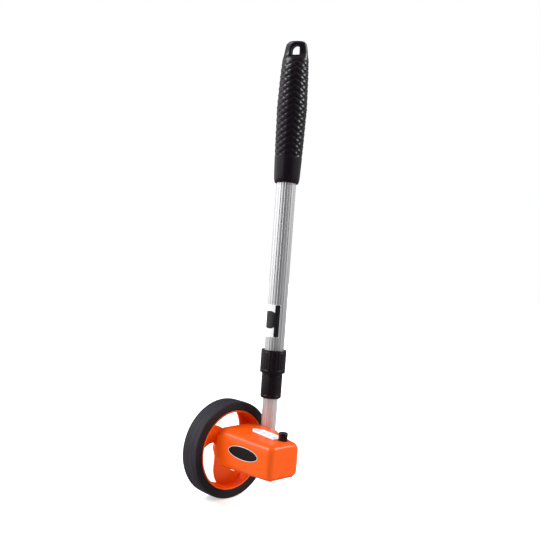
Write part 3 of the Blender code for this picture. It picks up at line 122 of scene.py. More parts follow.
# %% Sums on sockets
class Wire:
    """An output socket of a finish. Sums and products on it add Math nodes."""

    def __init__(self, finish, socket):
        self.finish = finish
        self.socket = socket

    def maths(self, operation, *others):
        """A Math node on this value and up to two more."""
        values = dict(enumerate((self, *others)))
        return self.finish.node("ShaderNodeMath", {"operation": operation}, values)

    def __add__(self, other):
        return self.maths("ADD", other)

    def __sub__(self, other):
        return self.maths("SUBTRACT", other)

    def __rsub__(self, other):
        return self * -1.0 + other

    def __mul__(self, other):
        return self.maths("MULTIPLY", other)

    __radd__ = __add__
    __rmul__ = __mul__

    def step(self, low, high):
        """0 below low, 1 above high, and a smooth rise between. With low above high it falls."""
        sign = 1.0 if high > low else -1.0
        sockets = {"Value": self * sign, "From Min": low * sign, "From Max": high * sign}
        settings = {"interpolation_type": "SMOOTHSTEP"}
        return self.finish.node("ShaderNodeMapRange", settings, sockets)


print("sockets can be added, subtracted, multiplied and stepped")

# %% [markdown]
# A finish makes its material and adds nodes by name. Patterns are placed by
# Object coordinates. Each object stays at the origin, so these are metres in
# the pack's frame, and a pattern rides along with its piece. Colours go through
# a Mix node, because a Math node would turn them grey.

# %% Finishes
class Finish:
    """One material: a Principled shader, and nodes added by name."""

    def __init__(self, name, colour, roughness, **constants):
        self.material = bpy.data.materials.new(name)
        self.material.use_nodes = True
        self.tree = self.material.node_tree
        self.shader = self.tree.nodes["Principled BSDF"]
        self.shader.inputs["Base Color"].default_value = (*colour, 1.0)
        self.shader.inputs["Roughness"].default_value = roughness
        for key, value in constants.items():
            socket_name = key.replace("_", " ").title().replace("Ior", "IOR")
            self.shader.inputs[socket_name].default_value = value
        self.place = self.node("ShaderNodeTexCoord", out="Object")

    def node(self, kind, settings=None, sockets=None, out=0):
        """Any node: its settings first, then the values or links of its sockets."""
        made = self.tree.nodes.new(kind)
        for key, value in (settings or {}).items():
            setattr(made, key, value)
        for key, value in (sockets or {}).items():
            if isinstance(value, Wire):
                self.tree.links.new(value.socket, made.inputs[key])
            else:
                made.inputs[key].default_value = value
        return Wire(self, made.outputs[out])

    def feed(self, key, wire):
        """Link a value to one of the shader's own sockets."""
        self.tree.links.new(wire.socket, self.shader.inputs[key])

    def noise(self, scale, stretch=(1.0, 1.0, 1.0), detail=3.0):
        """Cloudy values from 0 to 1, scale to the metre. A stretch below 1 draws an axis out."""
        moved = self.node("ShaderNodeMapping", {}, {"Vector": self.place, "Scale": stretch})
        sockets = {"Vector": moved, "Scale": scale, "Detail": detail}
        return self.node("ShaderNodeTexNoise", {}, sockets)

    def mix(self, factor, low, high):
        """Colour low where factor is 0 and high where it is 1."""
        ends = {0: factor}
        for index, colour in ((6, low), (7, high)):
            ends[index] = colour if isinstance(colour, Wire) else (*colour, 1.0)
        return self.node("ShaderNodeMix", {"data_type": "RGBA"}, ends, out=2)

    def bump(self, height, depth):
        """Feed a height pattern to the normal, depth in metres."""
        sockets = {"Height": height, "Distance": depth, "Strength": 1.0}
        self.feed("Normal", self.node("ShaderNodeBump", {}, sockets))

    def axis(self, index):
        """One of the place's three coordinates, in metres."""
        return self.node("ShaderNodeSeparateXYZ", {}, {0: self.place}, out=index)


print("a finish can have noise, mixed colours and bump")

# %% [markdown]
# The orange plastic is moulded and polished. A mould leaves it glossy but not
# like glass: long soft ripples where it cooled, and a very fine orange-peel
# skin. Both are noise at two scales, the large one for colour and the small
# one for the bump. Handling dulls it a little in patches, so the roughness
# varies too.

# %% Orange plastic
orange = Finish("orange_plastic", (0.90, 0.11, 0.006), 0.3,
                coat_roughness=0.15, specular_ior_level=0.2)
flow = orange.noise(38.0, detail=2.0)
orange.feed("Base Color", orange.mix(flow, (0.82, 0.086, 0.003), (0.88, 0.108, 0.005)))
handling = orange.noise(160.0)
orange.feed("Roughness", 0.21 + handling * 0.08)
orange.feed("Coat Weight", handling * 0.04)
peel = orange.noise(900.0, detail=1.0)
orange.bump(peel, 0.004 * MM)
print("orange plastic:", len(orange.tree.nodes), "nodes")

# %% [markdown]
# Tyre rubber is black and holds dust. Its tread is painted a lighter bluish
# grey, a painted sheen for the light that it catches. The tread is told from
# the sides by how far a point lies from the axle. That distance comes from the
# Object coordinates, so it stays right from any side. The painted sheen lies in
# rings, which are noise drawn out along X and Z, and the grain is a fine noise
# drawn out along the tread's width.

# %% Tyre rubber
TREAD_STARTS, TREAD_FULL = 46.6 * MM, 47.8 * MM
tyre_rubber = Finish("tyre_rubber", (0.02, 0.02, 0.022), 0.6, specular_ior_level=0.3)
out_x = tyre_rubber.axis(0) - float(AXLE[0])
out_z = tyre_rubber.axis(2) - float(AXLE[2])
from_axle = (out_x * out_x + out_z * out_z).maths("SQRT")
tread = from_axle.step(TREAD_STARTS, TREAD_FULL)
dust = tyre_rubber.noise(420.0)
rings = tyre_rubber.noise(1100.0, stretch=(0.03, 1.0, 0.03), detail=2.0)
side_colour = tyre_rubber.mix(dust, (0.008, 0.005, 0.007), (0.013, 0.009, 0.012))
# Painted sheen: rings of lighter bluish grey on the tread stand for the light it catches.
painted_sheen = rings.step(0.3, 0.7)
tread_sheen_colour = tyre_rubber.mix(painted_sheen, (0.008, 0.006, 0.009), (0.028, 0.024, 0.036))
tyre_rubber.feed("Base Color", tyre_rubber.mix(tread, side_colour, tread_sheen_colour))
tyre_rubber.feed("Roughness", 0.5 + tread * 0.12 + dust * 0.1)
grain = tyre_rubber.noise(2600.0, stretch=(1.0, 0.35, 1.0))
tyre_rubber.bump(grain, 0.08 * MM)
print("tyre rubber:", len(tyre_rubber.tree.nodes), "nodes")

# %% [markdown]
# The grip is a softer rubber with a satin skin. Its raised diamonds are real
# shape, made later, and the finish only adds a fine matt grain and the slight
# grey that comes with use.

# %% Grip rubber
grip_rubber = Finish("grip_rubber", (0.012, 0.011, 0.014), 0.42, specular_ior_level=0.25)
worn = grip_rubber.noise(300.0)
grip_rubber.feed("Base Color", grip_rubber.mix(worn, (0.006, 0.0035, 0.006), (0.011, 0.007, 0.012)))
grip_rubber.feed("Roughness", 0.24 + worn * 0.10)
grip_rubber.bump(grip_rubber.noise(4200.0, detail=2.0), 0.01 * MM)
print("grip rubber:", len(grip_rubber.tree.nodes), "nodes")

# %% [markdown]
# The collars, the reset button and the badge are a hard black plastic. It is
# smoother than the grip, so it shows light as narrow bands down its round
# sides.

# %% Black plastic
black = Finish("black_plastic", (0.010, 0.009, 0.010), 0.34, specular_ior_level=0.3)
scuffs = black.noise(700.0)
black.feed("Roughness", 0.24 + scuffs * 0.06)
black.feed("Base Color", black.mix(scuffs, (0.007, 0.004, 0.006), (0.013, 0.008, 0.011)))
black.bump(black.noise(2400.0, detail=2.0), 0.001 * MM)
print("black plastic:", len(black.tree.nodes), "nodes")

# %% [markdown]
# Aluminium tube is drawn through a die, which leaves fine lines along it and
# none across. Noise squeezed hard along Z gives such lines. They vary the
# colour, the roughness and the bump, so that reflections smear sideways as on
# the real tube. The lowest tube is duller than the other two, so it is rougher
# and less of a mirror.

# %% Aluminium
def drawn_tube(name, dullness, metal):
    """Aluminium with lines along Z. Dullness is its lowest roughness, metal its Metallic."""
    made = Finish(name, (0.80, 0.80, 0.81), 0.3, metallic=metal)
    drawn = made.noise(1500.0, stretch=(1.0, 1.0, 0.0004))
    cloud = made.noise(90.0)
    made.feed("Roughness", dullness + drawn * 0.08 + cloud * 0.05)
    made.feed("Base Color", made.mix(drawn, (0.70, 0.70, 0.72), (0.90, 0.90, 0.91)))
    made.bump(drawn, 0.003 * MM)
    print(name, len(made.tree.nodes), "nodes")
    return made


aluminium = drawn_tube("aluminium", 0.24, 0.80)
dull_aluminium = drawn_tube("dull_aluminium", 0.40, 0.62)

# %% [markdown]
# The inner parts are plated steel, brass and white plastic. Little of them
# shows, but they are seen when the base cover is off, so each has the marks of
# how it was made: rolled steel is cloudy, turned brass slightly uneven, and
# moulded white plastic nearly plain.

# %% Steel, brass and white plastic
steel = Finish("steel", (0.55, 0.55, 0.57), 0.3, metallic=1.0)
rolled = steel.noise(600.0)
steel.feed("Roughness", 0.22 + rolled * 0.2)
steel.feed("Base Color", steel.mix(rolled, (0.48, 0.48, 0.50), (0.62, 0.62, 0.64)))
steel.bump(steel.noise(3000.0), 0.01 * MM)

brass = Finish("brass", (0.72, 0.50, 0.18), 0.3, metallic=1.0)
turned_marks = brass.noise(800.0)
brass.feed("Roughness", 0.24 + turned_marks * 0.16)
brass.feed("Base Color", brass.mix(turned_marks, (0.62, 0.42, 0.15), (0.80, 0.58, 0.24)))
brass.bump(turned_marks, 0.01 * MM)

white = Finish("white_plastic", (0.82, 0.82, 0.86), 0.4)
tint = white.noise(250.0)
white.feed("Base Color", white.mix(tint, (0.76, 0.76, 0.82), (0.88, 0.88, 0.92)))
white.feed("Roughness", 0.34 + tint * 0.12)
white.bump(white.noise(2200.0), 0.01 * MM)

FINISHES = {
    "orange_plastic": orange, "tyre_rubber": tyre_rubber, "grip_rubber": grip_rubber,
    "black_plastic": black, "aluminium": aluminium, "steel": steel, "brass": brass,
    "white_plastic": white,
}
print("finishes:", len(FINISHES))

# %% [markdown]
# The window is a plastic plate, printed white on its face round one paler
# field for each drum, with a small dark mark at its point. The fields are told
# from the print by place: a rounded rectangle is 1 inside and 0 outside, and
# four of them are taken off Alpha. Plastic this thin is done with Alpha,
# because light then reaches the drums straight through it.

# %% Printed window
DIGITS_ON = {"drum_inches": 12, "drum_feet": 10, "drum_tens": 10, "drum_hundreds": 10}
FIELD_HALF, FIELD_CORNER = 3.1 * MM, 0.3 * MM
FIELD_SHARE = 0.40
FIELD_CLEARNESS = 0.3


def patch(x, y, half_x, half_y, corner, blur=0.06 * MM):
    """1 inside a rectangle with rounded corners about x = y = 0, and 0 outside. The distance is
    the length of the part of (|x|, |y|) beyond an inner rectangle, less the corner's radius."""
    over_x = (x.maths("ABSOLUTE") - (half_x - corner)).maths("MAXIMUM", 0.0)
    over_y = (y.maths("ABSOLUTE") - (half_y - corner)).maths("MAXIMUM", 0.0)
    return ((over_x * over_x + over_y * over_y).maths("SQRT") - corner).step(blur, -blur)


def drum_rim(node):
    """Where a drum's rim starts and stops along Y: its box, less the gear before every rim
    but the first, and less the sleeve after every rim but the last."""
    low, high = box_of(node)
    gear = 0.0 if node == "drum_inches" else 1.4 * MM
    sleeve = 0.0 if node == "drum_hundreds" else 1.2 * MM
    return float(low[1] + gear), float(high[1] - sleeve)


clear = Finish("clear_plastic", (0.86, 0.86, 0.92), 0.12)
lens_low, lens_high = box_of("window_lens")
lens_x = clear.axis(0) - float((lens_low[0] + lens_high[0]) / 2)
lens_y = clear.axis(1)
fields = []
for node in DIGITS_ON:
    start, stop = drum_rim(node)
    half_length = (stop - start) * FIELD_SHARE
    from_middle = lens_y - (start + stop) / 2
    fields.append(patch(lens_x, from_middle, FIELD_HALF, half_length, FIELD_CORNER))
field_mask = sum(fields[1:], fields[0])
mark_y = lens_y - float(lens_low[1] + 4.6 * MM)
mark = patch(lens_x, mark_y, 0.5 * MM, 0.9 * MM, 0.45 * MM)
smear = clear.noise(220.0)
print_colour = clear.mix(smear, (0.90, 0.90, 0.95), (0.97, 0.97, 1.0))
clear.feed("Base Color", clear.mix(mark, print_colour, (0.10, 0.12, 0.12)))
clear.feed("Roughness", 0.08 + smear * 0.08)
clear.feed("Alpha", 1.0 - field_mask * FIELD_CLEARNESS)
FINISHES["clear_plastic"] = clear
print("window finish:", len(clear.tree.nodes), "nodes")

# %% [markdown]
# Every solid of the pack gets its finish by the slot that the record names.
# Solids that a finer piece replaces later keep theirs too, which does no harm,
# because they aren't shown.

# %% Finish the solids of the pack
SLOT_OF = {entry["node"]: entry["material_slot"] for entry in frame["record"]["subparts"]}
for node, slot in SLOT_OF.items():
    solid = frame["nodes"][node]
    if not solid.material_slots:
        solid.data.materials.append(None)
    for material_slot in solid.material_slots:
        material_slot.link = "OBJECT"
        material_slot.material = FINISHES[slot].material
print("solids finished:", len(SLOT_OF))

# %% [markdown]
# New pieces are grids of points. A grid with rows and columns becomes a skin
# of four-sided faces between neighbouring points. It may close on itself
# across, like a tube, and lengthwise, like a ring. Where it doesn't close
# lengthwise, a fan to a middle point closes each end.

# %% Skin of a grid
def skin(grid, ring=False):
    """Faces of a grid of points that closes across: corners (r, c), (r, c+1), (r+1, c+1) and
    (r+1, c). A ring closes lengthwise too. Otherwise each end gets a middle point, the mean of
    its row, and a fan."""
    rows, columns = grid.shape[:2]
    r = np.arange(rows if ring else rows - 1)[:, None] + np.zeros(columns, int)
    c = np.arange(columns)[None, :] + 0 * r
    r2, c2 = (r + 1) % rows, (c + 1) % columns
    corners = [r * columns + c, r * columns + c2, r2 * columns + c2, r2 * columns + c]
    faces = np.stack(corners, -1).reshape(-1, 4).tolist()
    points = grid.reshape(-1, 3)
    if not ring:
        points = np.vstack([points, grid[0].mean(0), grid[-1].mean(0)])
        around = np.arange(columns)
        after = (around + 1) % columns
        last = (rows - 1) * columns
        first_fan = np.stack([after, around, around * 0 + rows * columns], -1)
        last_fan = np.stack([last + around, last + after, around * 0 + rows * columns + 1], -1)
        faces += first_fan.tolist() + last_fan.tolist()
    return points, faces


print("3 rows of 4 points give", len(skin(np.zeros((3, 4, 3)))[1]), "faces")

# %% [markdown]
# A piece is one or more skins in one mesh, which also holds its place. It rides
# on the body of the solid that it belongs to, gets its finish and mostly stands
# for it, which hides that solid. Edges sharper than a set angle stay crisp, and
# the others are shaded smoothly.

# %% Pieces
BODIES = frame["record"]["behaviour"]["bodies"]
BODY_OF = {node: body for body, nodes in BODIES.items() for node in nodes}


def put(name, parts, finish, node, stands=True):
    """A piece from one or more (points, faces) parts."""
    points = np.vstack([part[0] for part in parts])
    starts = np.cumsum([0] + [len(part[0]) for part in parts])
    faces = [[corner + int(start) for corner in face]
             for part, start in zip(parts, starts) for face in part[1]]
    mesh = bpy.data.meshes.new(name)
    mesh.from_pydata(points.tolist(), [], faces)
    return dress(name, mesh, finish, node, stands)


def dress(name, mesh, finish, node, stands=True, sharp=35):
    """Merge a mesh's doubled points, turn its faces outwards, shade it and make it a piece."""
    work = bmesh.new()
    work.from_mesh(mesh)
    bmesh.ops.remove_doubles(work, verts=work.verts, dist=0.0005 * MM)
    bmesh.ops.recalc_face_normals(work, faces=work.faces)
    work.to_mesh(mesh)
    work.free()
    mesh.shade_smooth()
    mesh.set_sharp_from_angle(angle=math.radians(sharp))
    mesh.materials.clear()
    mesh.materials.append(finish.material)
    piece = add_object(name, mesh)
    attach(piece, BODY_OF[node])
    if stands:
        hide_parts(node)
    print(name, "faces:", len(mesh.polygons))
    return piece


print("bodies to ride on:", *BODIES)

# %% [markdown]
# Most pieces here are turned. A section is a few corners, each rounded as a
# mould leaves it, and is carried round an axis. Rounding matters most for the
# looks, because a sharp edge catches no light.

# %% Turned sections
def rounded(corners, steps=5):
    """Closed outline with rounded corners. Each corner is (x, y, cut). Its curve leaves the
    side before it at that distance, in a, and meets the side after it likewise, in b:
    (1-t)^2 a + 2t(1-t) corner + t^2 b."""
    table = np.array(corners, float)
    point, cut = table[:, None, :2], table[:, None, 2:]
    before = np.roll(point, 1, 0) - point
    after = np.roll(point, -1, 0) - point
    a = point + before / np.linalg.norm(before, axis=-1, keepdims=True) * cut
    b = point + after / np.linalg.norm(after, axis=-1, keepdims=True) * cut
    t = np.linspace(0, 1, steps + 1)[None, :, None]
    return ((1 - t) ** 2 * a + 2 * t * (1 - t) * point + t ** 2 * b).reshape(-1, 2)


def turned(profile, count, swell=None):
    """Profile points (radius, height) carried round Z: (r cos a, r sin a, h). A swell, one
    number for each profile point and angle, is added to the radius."""
    angle = np.arange(count) * 2 * np.pi / count
    radius = profile[:, :1] + (0 if swell is None else swell)
    level = profile[:, 1:] + 0 * angle
    return np.stack([radius * np.cos(angle), radius * np.sin(angle), level], -1)


def on_axle(points):
    """Height along Z becomes place along the axle, and the rest goes round it."""
    return points[..., [0, 2, 1]] + AXLE


def on_pole(points, turn=0.0):
    """Place a shape on the pole's axis, turned about it."""
    c, s = math.cos(turn), math.sin(turn)
    x, y, z = points[..., 0], points[..., 1], points[..., 2]
    return np.stack([c * x - s * y, s * x + c * y, z], -1) + POLE


print("a rounded triangle has", len(rounded([(0, 0, 1), (9, 0, 1), (0, 9, 1)])), "points")

# %% [markdown]
# The tyre is a solid rubber ring, nearly square in section, with slightly
# crowned tread and small rounded shoulders. One profile turned about the axle
# makes it. The tread bears very fine cross lines from its mould, too shallow
# to see singly, so a low ripple round the ring carries them as real shape.

# %% Tyre
TYRE_R = float(tyre_high[2] - tyre_low[2]) / 2
TYRE_HALF = float(tyre_high[1] - tyre_low[1]) / 2
RIM_R = 39.6 * MM
CROWN = 0.25 * MM
CROSS_LINES = 360
LINE_DEPTH = 0.06 * MM
tyre_profile = rounded([
    (RIM_R + 0.3 * MM, -TYRE_HALF, 0.4 * MM), (TYRE_R - CROWN, -TYRE_HALF, 1.5 * MM),
    (TYRE_R, -TYRE_HALF * 0.45, 3.0 * MM), (TYRE_R, TYRE_HALF * 0.45, 3.0 * MM),
    (TYRE_R - CROWN, TYRE_HALF, 1.5 * MM), (RIM_R + 0.3 * MM, TYRE_HALF, 0.4 * MM),
], 6)
on_tread = (tyre_profile[:, :1] > TYRE_R - 0.6 * MM) * 1.0
line_wave = np.cos(np.arange(2 * CROSS_LINES) * np.pi)[None, :]
ripple = -LINE_DEPTH * on_tread * (1 + line_wave) / 2
tyre_grid = on_axle(turned(tyre_profile, 2 * CROSS_LINES, ripple))
put("tyre_ring", [skin(tyre_grid, ring=True)], tyre_rubber, "tyre")

# %% [markdown]
# The wheel is one moulding: a rim, a hub with a cup for the nut behind it, and
# three blades that lean round as they go out and slope away from the housing.
# Rim and hub are turned profiles. A blade is a flat section with round edges,
# carried out from the hub to the rim: at each radius it is as wide as its share
# of the circle, turned by the lean, and set along the axle by the slope.

# %% Rim and hub
RIM_BORE = 36.8 * MM
RIM_LIP = 38.0 * MM
RIM_HALF = TYRE_HALF - 0.5 * MM
HUB_R, HUB_BORE, HUB_FRONT = 15.0 * MM, 3.3 * MM, 4.2 * MM
CUP_R, CUP_BORE, CUP_FLOOR, CUP_END = 10.8 * MM, 8.6 * MM, -3.5 * MM, -10.3 * MM
WEB = 2.6 * MM
WEB_SET_BACK = 2.1 * MM
LEDGE = 0.8 * MM


def web_face(radius):
    """Housing-side face of the web along the axle: level with the middle at the hub, and set
    back by 2.1 mm at the rim's bore, in a straight line between."""
    return (radius - HUB_R) / (RIM_BORE - HUB_R) * -WEB_SET_BACK


rim_web = web_face(RIM_BORE)
rim_profile = rounded([
    (RIM_R, RIM_HALF, 0.5 * MM), (RIM_R, -RIM_HALF, 0.5 * MM), (RIM_LIP, -RIM_HALF, 0.4 * MM),
    (RIM_BORE, rim_web - WEB - 1.2 * MM, 1.0 * MM), (RIM_BORE - LEDGE, rim_web - WEB, 0.4 * MM),
    (RIM_BORE - LEDGE, rim_web, 0.4 * MM), (RIM_BORE, rim_web + 1.2 * MM, 1.0 * MM),
    (RIM_LIP, RIM_HALF, 0.4 * MM),
])
hub_profile = rounded([
    (HUB_BORE, HUB_FRONT, 0.2 * MM), (HUB_R, HUB_FRONT, 0.9 * MM), (HUB_R, 1.2 * MM, 1.0 * MM),
    (HUB_R + LEDGE, 0.0, 0.4 * MM), (HUB_R + LEDGE, -WEB, 0.4 * MM),
    (CUP_R + 0.8 * MM, -WEB, 0.6 * MM), (CUP_R, -WEB - 1.0 * MM, 0.6 * MM),
    (CUP_R, CUP_END, 0.7 * MM), (CUP_BORE, CUP_END, 0.5 * MM),
    (CUP_BORE, CUP_FLOOR, 0.6 * MM), (HUB_BORE, CUP_FLOOR, 0.2 * MM),
])

# %% [markdown]
# Three blades and three openings share the circle. An opening takes 67.4
# degrees and a blade the rest, at every radius but near the hub, where the
# blade flares into it in a short curve. A superellipse rounds a blade's edges.

# %% Blades
BLADE_COUNT, FIRST_BLADE = 3, 36.0
BLADE_START = HUB_R + 0.2 * MM
BLADE_STOP = RIM_BORE + 0.6 * MM
INNER, OUTER = HUB_R + LEDGE, RIM_BORE - LEDGE
OPENING_DEGREES = 67.4
BLADE_HALF = math.radians(180 / BLADE_COUNT - OPENING_DEGREES / 2)
BLADE_LEAN = math.radians(39.4)
ROOT_FLARE = math.radians(13.0)
EDGE_ROUND = 0.7 * MM


def blade(middle_degrees):
    """Section: two flat faces of 21 points and two rounded edges of 9, as (across, rise) pairs.
    Row: the section at one radius, measured along the arc. From root to tip a blade leans by
    39.4 degrees, and each side is wider at the root by 13 degrees * (1 - share)^9."""
    flat = np.linspace(-1, 1, 21)
    bend = np.linspace(np.pi / 2, -np.pi / 2, 9)
    wide = np.concatenate([flat, flat[-1] + 0 * bend, flat[::-1], flat[0] + 0 * bend])
    past = np.concatenate([0 * flat, np.cos(bend), 0 * flat, -np.cos(bend)]) * EDGE_ROUND
    lift = np.concatenate([flat * 0 + 1, np.sin(bend), flat * 0 - 1, -np.sin(bend)])
    lift = np.sign(lift) * np.abs(lift) ** 0.6 * WEB / 2
    step = np.linspace(0, 1, 60)[:, None] ** 1.4
    radius = BLADE_START + (BLADE_STOP - BLADE_START) * step
    share = np.clip((radius - INNER) / (OUTER - INNER), 0, 1)
    half = radius * (BLADE_HALF + ROOT_FLARE * (1 - share) ** 9) - EDGE_ROUND
    lean = BLADE_LEAN * (share - 0.5)
    angle = math.radians(middle_degrees) - lean + (wide * half + past) / radius
    along = web_face(radius) - WEB / 2 + lift
    return np.stack([radius * np.cos(angle), along + 0 * angle, radius * np.sin(angle)], -1) + AXLE


wheel_parts = [skin(on_axle(turned(rim_profile, 192)), ring=True),
               skin(on_axle(turned(hub_profile, 128)), ring=True)]
wheel_parts += [skin(blade(FIRST_BLADE + 360 / BLADE_COUNT * i)) for i in range(BLADE_COUNT)]
put("wheel_moulding", wheel_parts, orange, "wheel")

# %% [markdown]
# Solids with the right shape still have flat little faces, because a CAD mesh
# is loose triangles. A copy with its doubled points merged can be shaded
# smoothly, and edges sharper than 30 degrees stay crisp. Plain smooth shading
# would make flat walls look like pillows where they meet a rounded edge. So the
# normals are weighted by area: a wall keeps its own, and the edge does the
# bending. The housing's top is cut by the window, which leaves long thin
# triangles, so its normals come from the formula of its crowned top instead.

# %% Normals for smooth copies
HOUSING_START, HOUSING_LENGTH = AXLE[1] + 7.0 * MM, 75.3 * MM
FRONT_HALF, FRONT_NARROWING = 25.0 * MM, 5.7 * MM
LOWEST_TOP = 21.9 * MM
TOP_SLOPE = 3.5 * MM / HOUSING_LENGTH
TOP_CROWN = 0.8 * MM


def front_half(y):
    """Half width of the housing at a place along it. It narrows evenly."""
    return FRONT_HALF - FRONT_NARROWING * (y - HOUSING_START) / HOUSING_LENGTH


def crowned_top(point):
    """Normal of the housing's top, which slopes along Y and bulges across it as
    crown * (1 - (x / half width)^2)."""
    bulge = 2 * TOP_CROWN * (point.x - AXLE[0]) / front_half(point.y) ** 2
    return Vector((bulge, TOP_SLOPE, 1.0))


def weigh_normals(piece, level=None):
    """Give each corner the sum of its fan's face normals times their areas. A fan is the faces
    round a point that no sharp edge parts. Where one holds a level face high on the piece, a
    known normal is taken instead, if one is given."""
    mesh = piece.data
    work = bmesh.new()
    work.from_mesh(mesh)
    normals = [None] * len(mesh.loops)
    for point in work.verts:
        left = set(point.link_loops)
        while left:
            fan, edge_of_fan = [], [left.pop()]
            while edge_of_fan:
                corner = edge_of_fan.pop()
                fan.append(corner)
                for edge in (corner.edge, corner.link_loop_prev.edge):
                    near = [other for other in left if edge.smooth and edge in other.face.edges]
                    left.difference_update(near)
                    edge_of_fan += near
            weighted = (corner.face.normal * corner.face.calc_area() for corner in fan)
            total = sum(weighted, point.normal * 0.0)
            is_level = max(corner.face.normal.z for corner in fan) > 0.985
            if level and is_level and point.co.z > AXLE[2] + LOWEST_TOP:
                total = level(point.co)
            for corner in fan:
                normals[corner.index] = total.normalized()
    work.free()
    mesh.normals_split_custom_set(normals)


print("housing's half width:", round(front_half(HOUSING_START + HOUSING_LENGTH), 4), "at its end")

# %% [markdown]
# Each copy replaces its solid, which itself is never touched. The reset
# spring's copy gets a mesh of its own.

# %% Smooth copies of right-shaped solids
SMOOTHED = ["housing", "base_cover", "axle", "wheel_washer", "pole_clamp_screw", "wheel_nut",
            "lower_collet", "upper_collet", "lower_tube_plug", "middle_tube_plug"]
SMOOTHED += [f"cover_screw_{index}" for index in range(1, 5)]


def smooth_copy(node):
    """A merged, smoothly shaded copy of a solid that stands for it."""
    name = node + "_skin"
    mesh = frame["nodes"][node].data.copy()
    mesh.name = name
    copy = dress(name, mesh, FINISHES[SLOT_OF[node]], node, sharp=30)
    weigh_normals(copy, crowned_top if node == "housing" else None)
    return copy


for node in SMOOTHED:
    smooth_copy(node)
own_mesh(smooth_copy("reset_spring"))

# %% [markdown]
# The pole is three aluminium tubes, each sliding in the next. Every tube has
# 18 shallow grooves along it, which keep it from turning. The tube's wall is a
# thin closed profile turned about the pole, with the grooves taken off the
# outer radius as a smooth dip, so they catch light as dark and bright stripes.

# %% Tubes
FLUTES = 18
FLUTE_DEPTH = 0.35 * MM
FLUTE_SHARE = 0.38
TUBE_WALL = 0.8 * MM
TUBE_EDGE = 0.15 * MM
OUTER_R, MIDDLE_R, LOWER_R = 9.9 * MM, 8.7 * MM, 7.5 * MM


def flute(count):
    """Dip from 0 to 1 round the tube: cos^2 over the middle 38 percent of each of 18 shares."""
    share = (np.arange(count) * FLUTES / count) % 1.0
    off = np.abs(share - 0.5) / (FLUTE_SHARE / 2)
    return np.where(off < 1, np.cos(off * np.pi / 2) ** 2, 0.0)


def span(node):
    """Lowest and highest point of a solid, from the axle's height."""
    low, high = box_of(node)
    return low[2] - AXLE[2], high[2] - AXLE[2]


def tube(name, node, finish, radius, turn=0.0):
    """A closed wall 0.8 mm thick, as high as the solid that it stands for."""
    low, high = span(node)
    inner = radius - TUBE_WALL
    profile = np.array([
        (inner, low), (radius - TUBE_EDGE, low), (radius, low + TUBE_EDGE),
        (radius, high - TUBE_EDGE), (radius - TUBE_EDGE, high), (inner, high),
    ])
    depth = np.array([0, 1, 1, 1, 1, 0])[:, None] * FLUTE_DEPTH
    grid = on_pole(turned(profile, FLUTES * 16, -depth * flute(FLUTES * 16)), turn)
    put(name, [skin(grid, ring=True)], finish, node)


tube("tube_lower", "lower_tube", dull_aluminium, LOWER_R)
tube("tube_middle", "middle_tube", aluminium, MIDDLE_R)
tube("tube_outer", "outer_tube", aluminium, OUTER_R, UPPER_TURN)

# %% [markdown]
# Two collars clamp the tubes: turning one squeezes a split ring onto the tube
# inside. The upper collar has shallow ribs for the fingers between two plain
# lips, and the lower one has much finer ones and a well rounded foot. Fine
# rings part ribs and lips. Each is a rounded profile turned about the pole.

# %% Collars
RIBS = 24
LIP = 2.0 * MM
RING = 0.25 * MM


def collar(name, node, radius, bore, seat, rib_depth, foot_round, turn=0.0):
    """Closed profile from the foot up the outside and down the bore. Ribs are a smooth wave on
    the radius, depth * (cos(24 angle) - 1) / 2, only on the rows between the lips."""
    low, high = span(node)
    profile = rounded([
        (bore, low, 0.2 * MM), (radius, low, foot_round), (radius, low + LIP + 1.2 * MM, 0.1 * MM),
        (radius - RING, low + LIP + 1.5 * MM, 0.1 * MM), (radius, low + LIP + 1.8 * MM, 0.1 * MM),
        (radius, high - LIP, 0.1 * MM), (radius - RING, high - LIP + 0.3 * MM, 0.1 * MM),
        (radius, high - LIP + 0.6 * MM, 0.1 * MM), (radius, high, 0.5 * MM),
        (seat, high, 0.2 * MM), (seat, low + LIP, 0.1 * MM), (bore, low + LIP, 0.1 * MM),
    ])
    count = RIBS * 12
    across, height = profile[:, :1], profile[:, 1:]
    ribbed = (across > radius - 0.02 * MM) & (height > low + LIP + 1.7 * MM)
    ribbed = ribbed & (height < high - LIP + 0.1 * MM)
    wave = np.cos(np.arange(count) * RIBS * 2 * np.pi / count)[None, :]
    grid = on_pole(turned(profile, count, rib_depth * ribbed * (wave - 1) / 2), turn)
    put(name, [skin(grid, ring=True)], black, node)


collar("collar_lower", "lower_collar", 10.5 * MM, 7.8 * MM, 9.0 * MM, 0.08 * MM, 1.8 * MM)
collar("collar_upper", "upper_collar", 12.8 * MM, 9.0 * MM, 10.2 * MM, 0.28 * MM, 1.0 * MM,
       UPPER_TURN)

# %% [markdown]
# The grip swells, narrows and is pressed flat, which no arc gives. A curve
# through a few measured widths does, if it never overshoots them. A plain cubic
# spline would add a bulge beside the neck.

# %% Smooth curves
def through(places, values, x):
    """Smooth curve through points without overshoot: a cubic on each stretch, whose end slopes
    are the harmonic mean of the slopes on both sides, or 0 where these have unlike signs."""
    gap = np.diff(places)
    rise = np.diff(values) / gap
    product = rise[:-1] * rise[1:]
    total = np.where(rise[:-1] + rise[1:] == 0, 1.0, rise[:-1] + rise[1:])
    slope = np.concatenate([rise[:1], np.where(product > 0, 2 * product / total, 0.0), rise[-1:]])
    k = np.clip(np.searchsorted(places, x, side="right") - 1, 0, len(gap) - 1)
    t = (x - places[k]) / gap[k]
    start = (1 + 2 * t) * (1 - t) ** 2 * values[k] + t * (1 - t) ** 2 * gap[k] * slope[k]
    end = t ** 2 * (3 - 2 * t) * values[k + 1] + t ** 2 * (t - 1) * gap[k] * slope[k + 1]
    return start + end


def smooth_step(value, low, high):
    """0 below low, 1 above high, 3t^2 - 2t^3 between."""
    t = np.clip((value - low) / (high - low), 0, 1)
    return t * t * (3 - 2 * t)


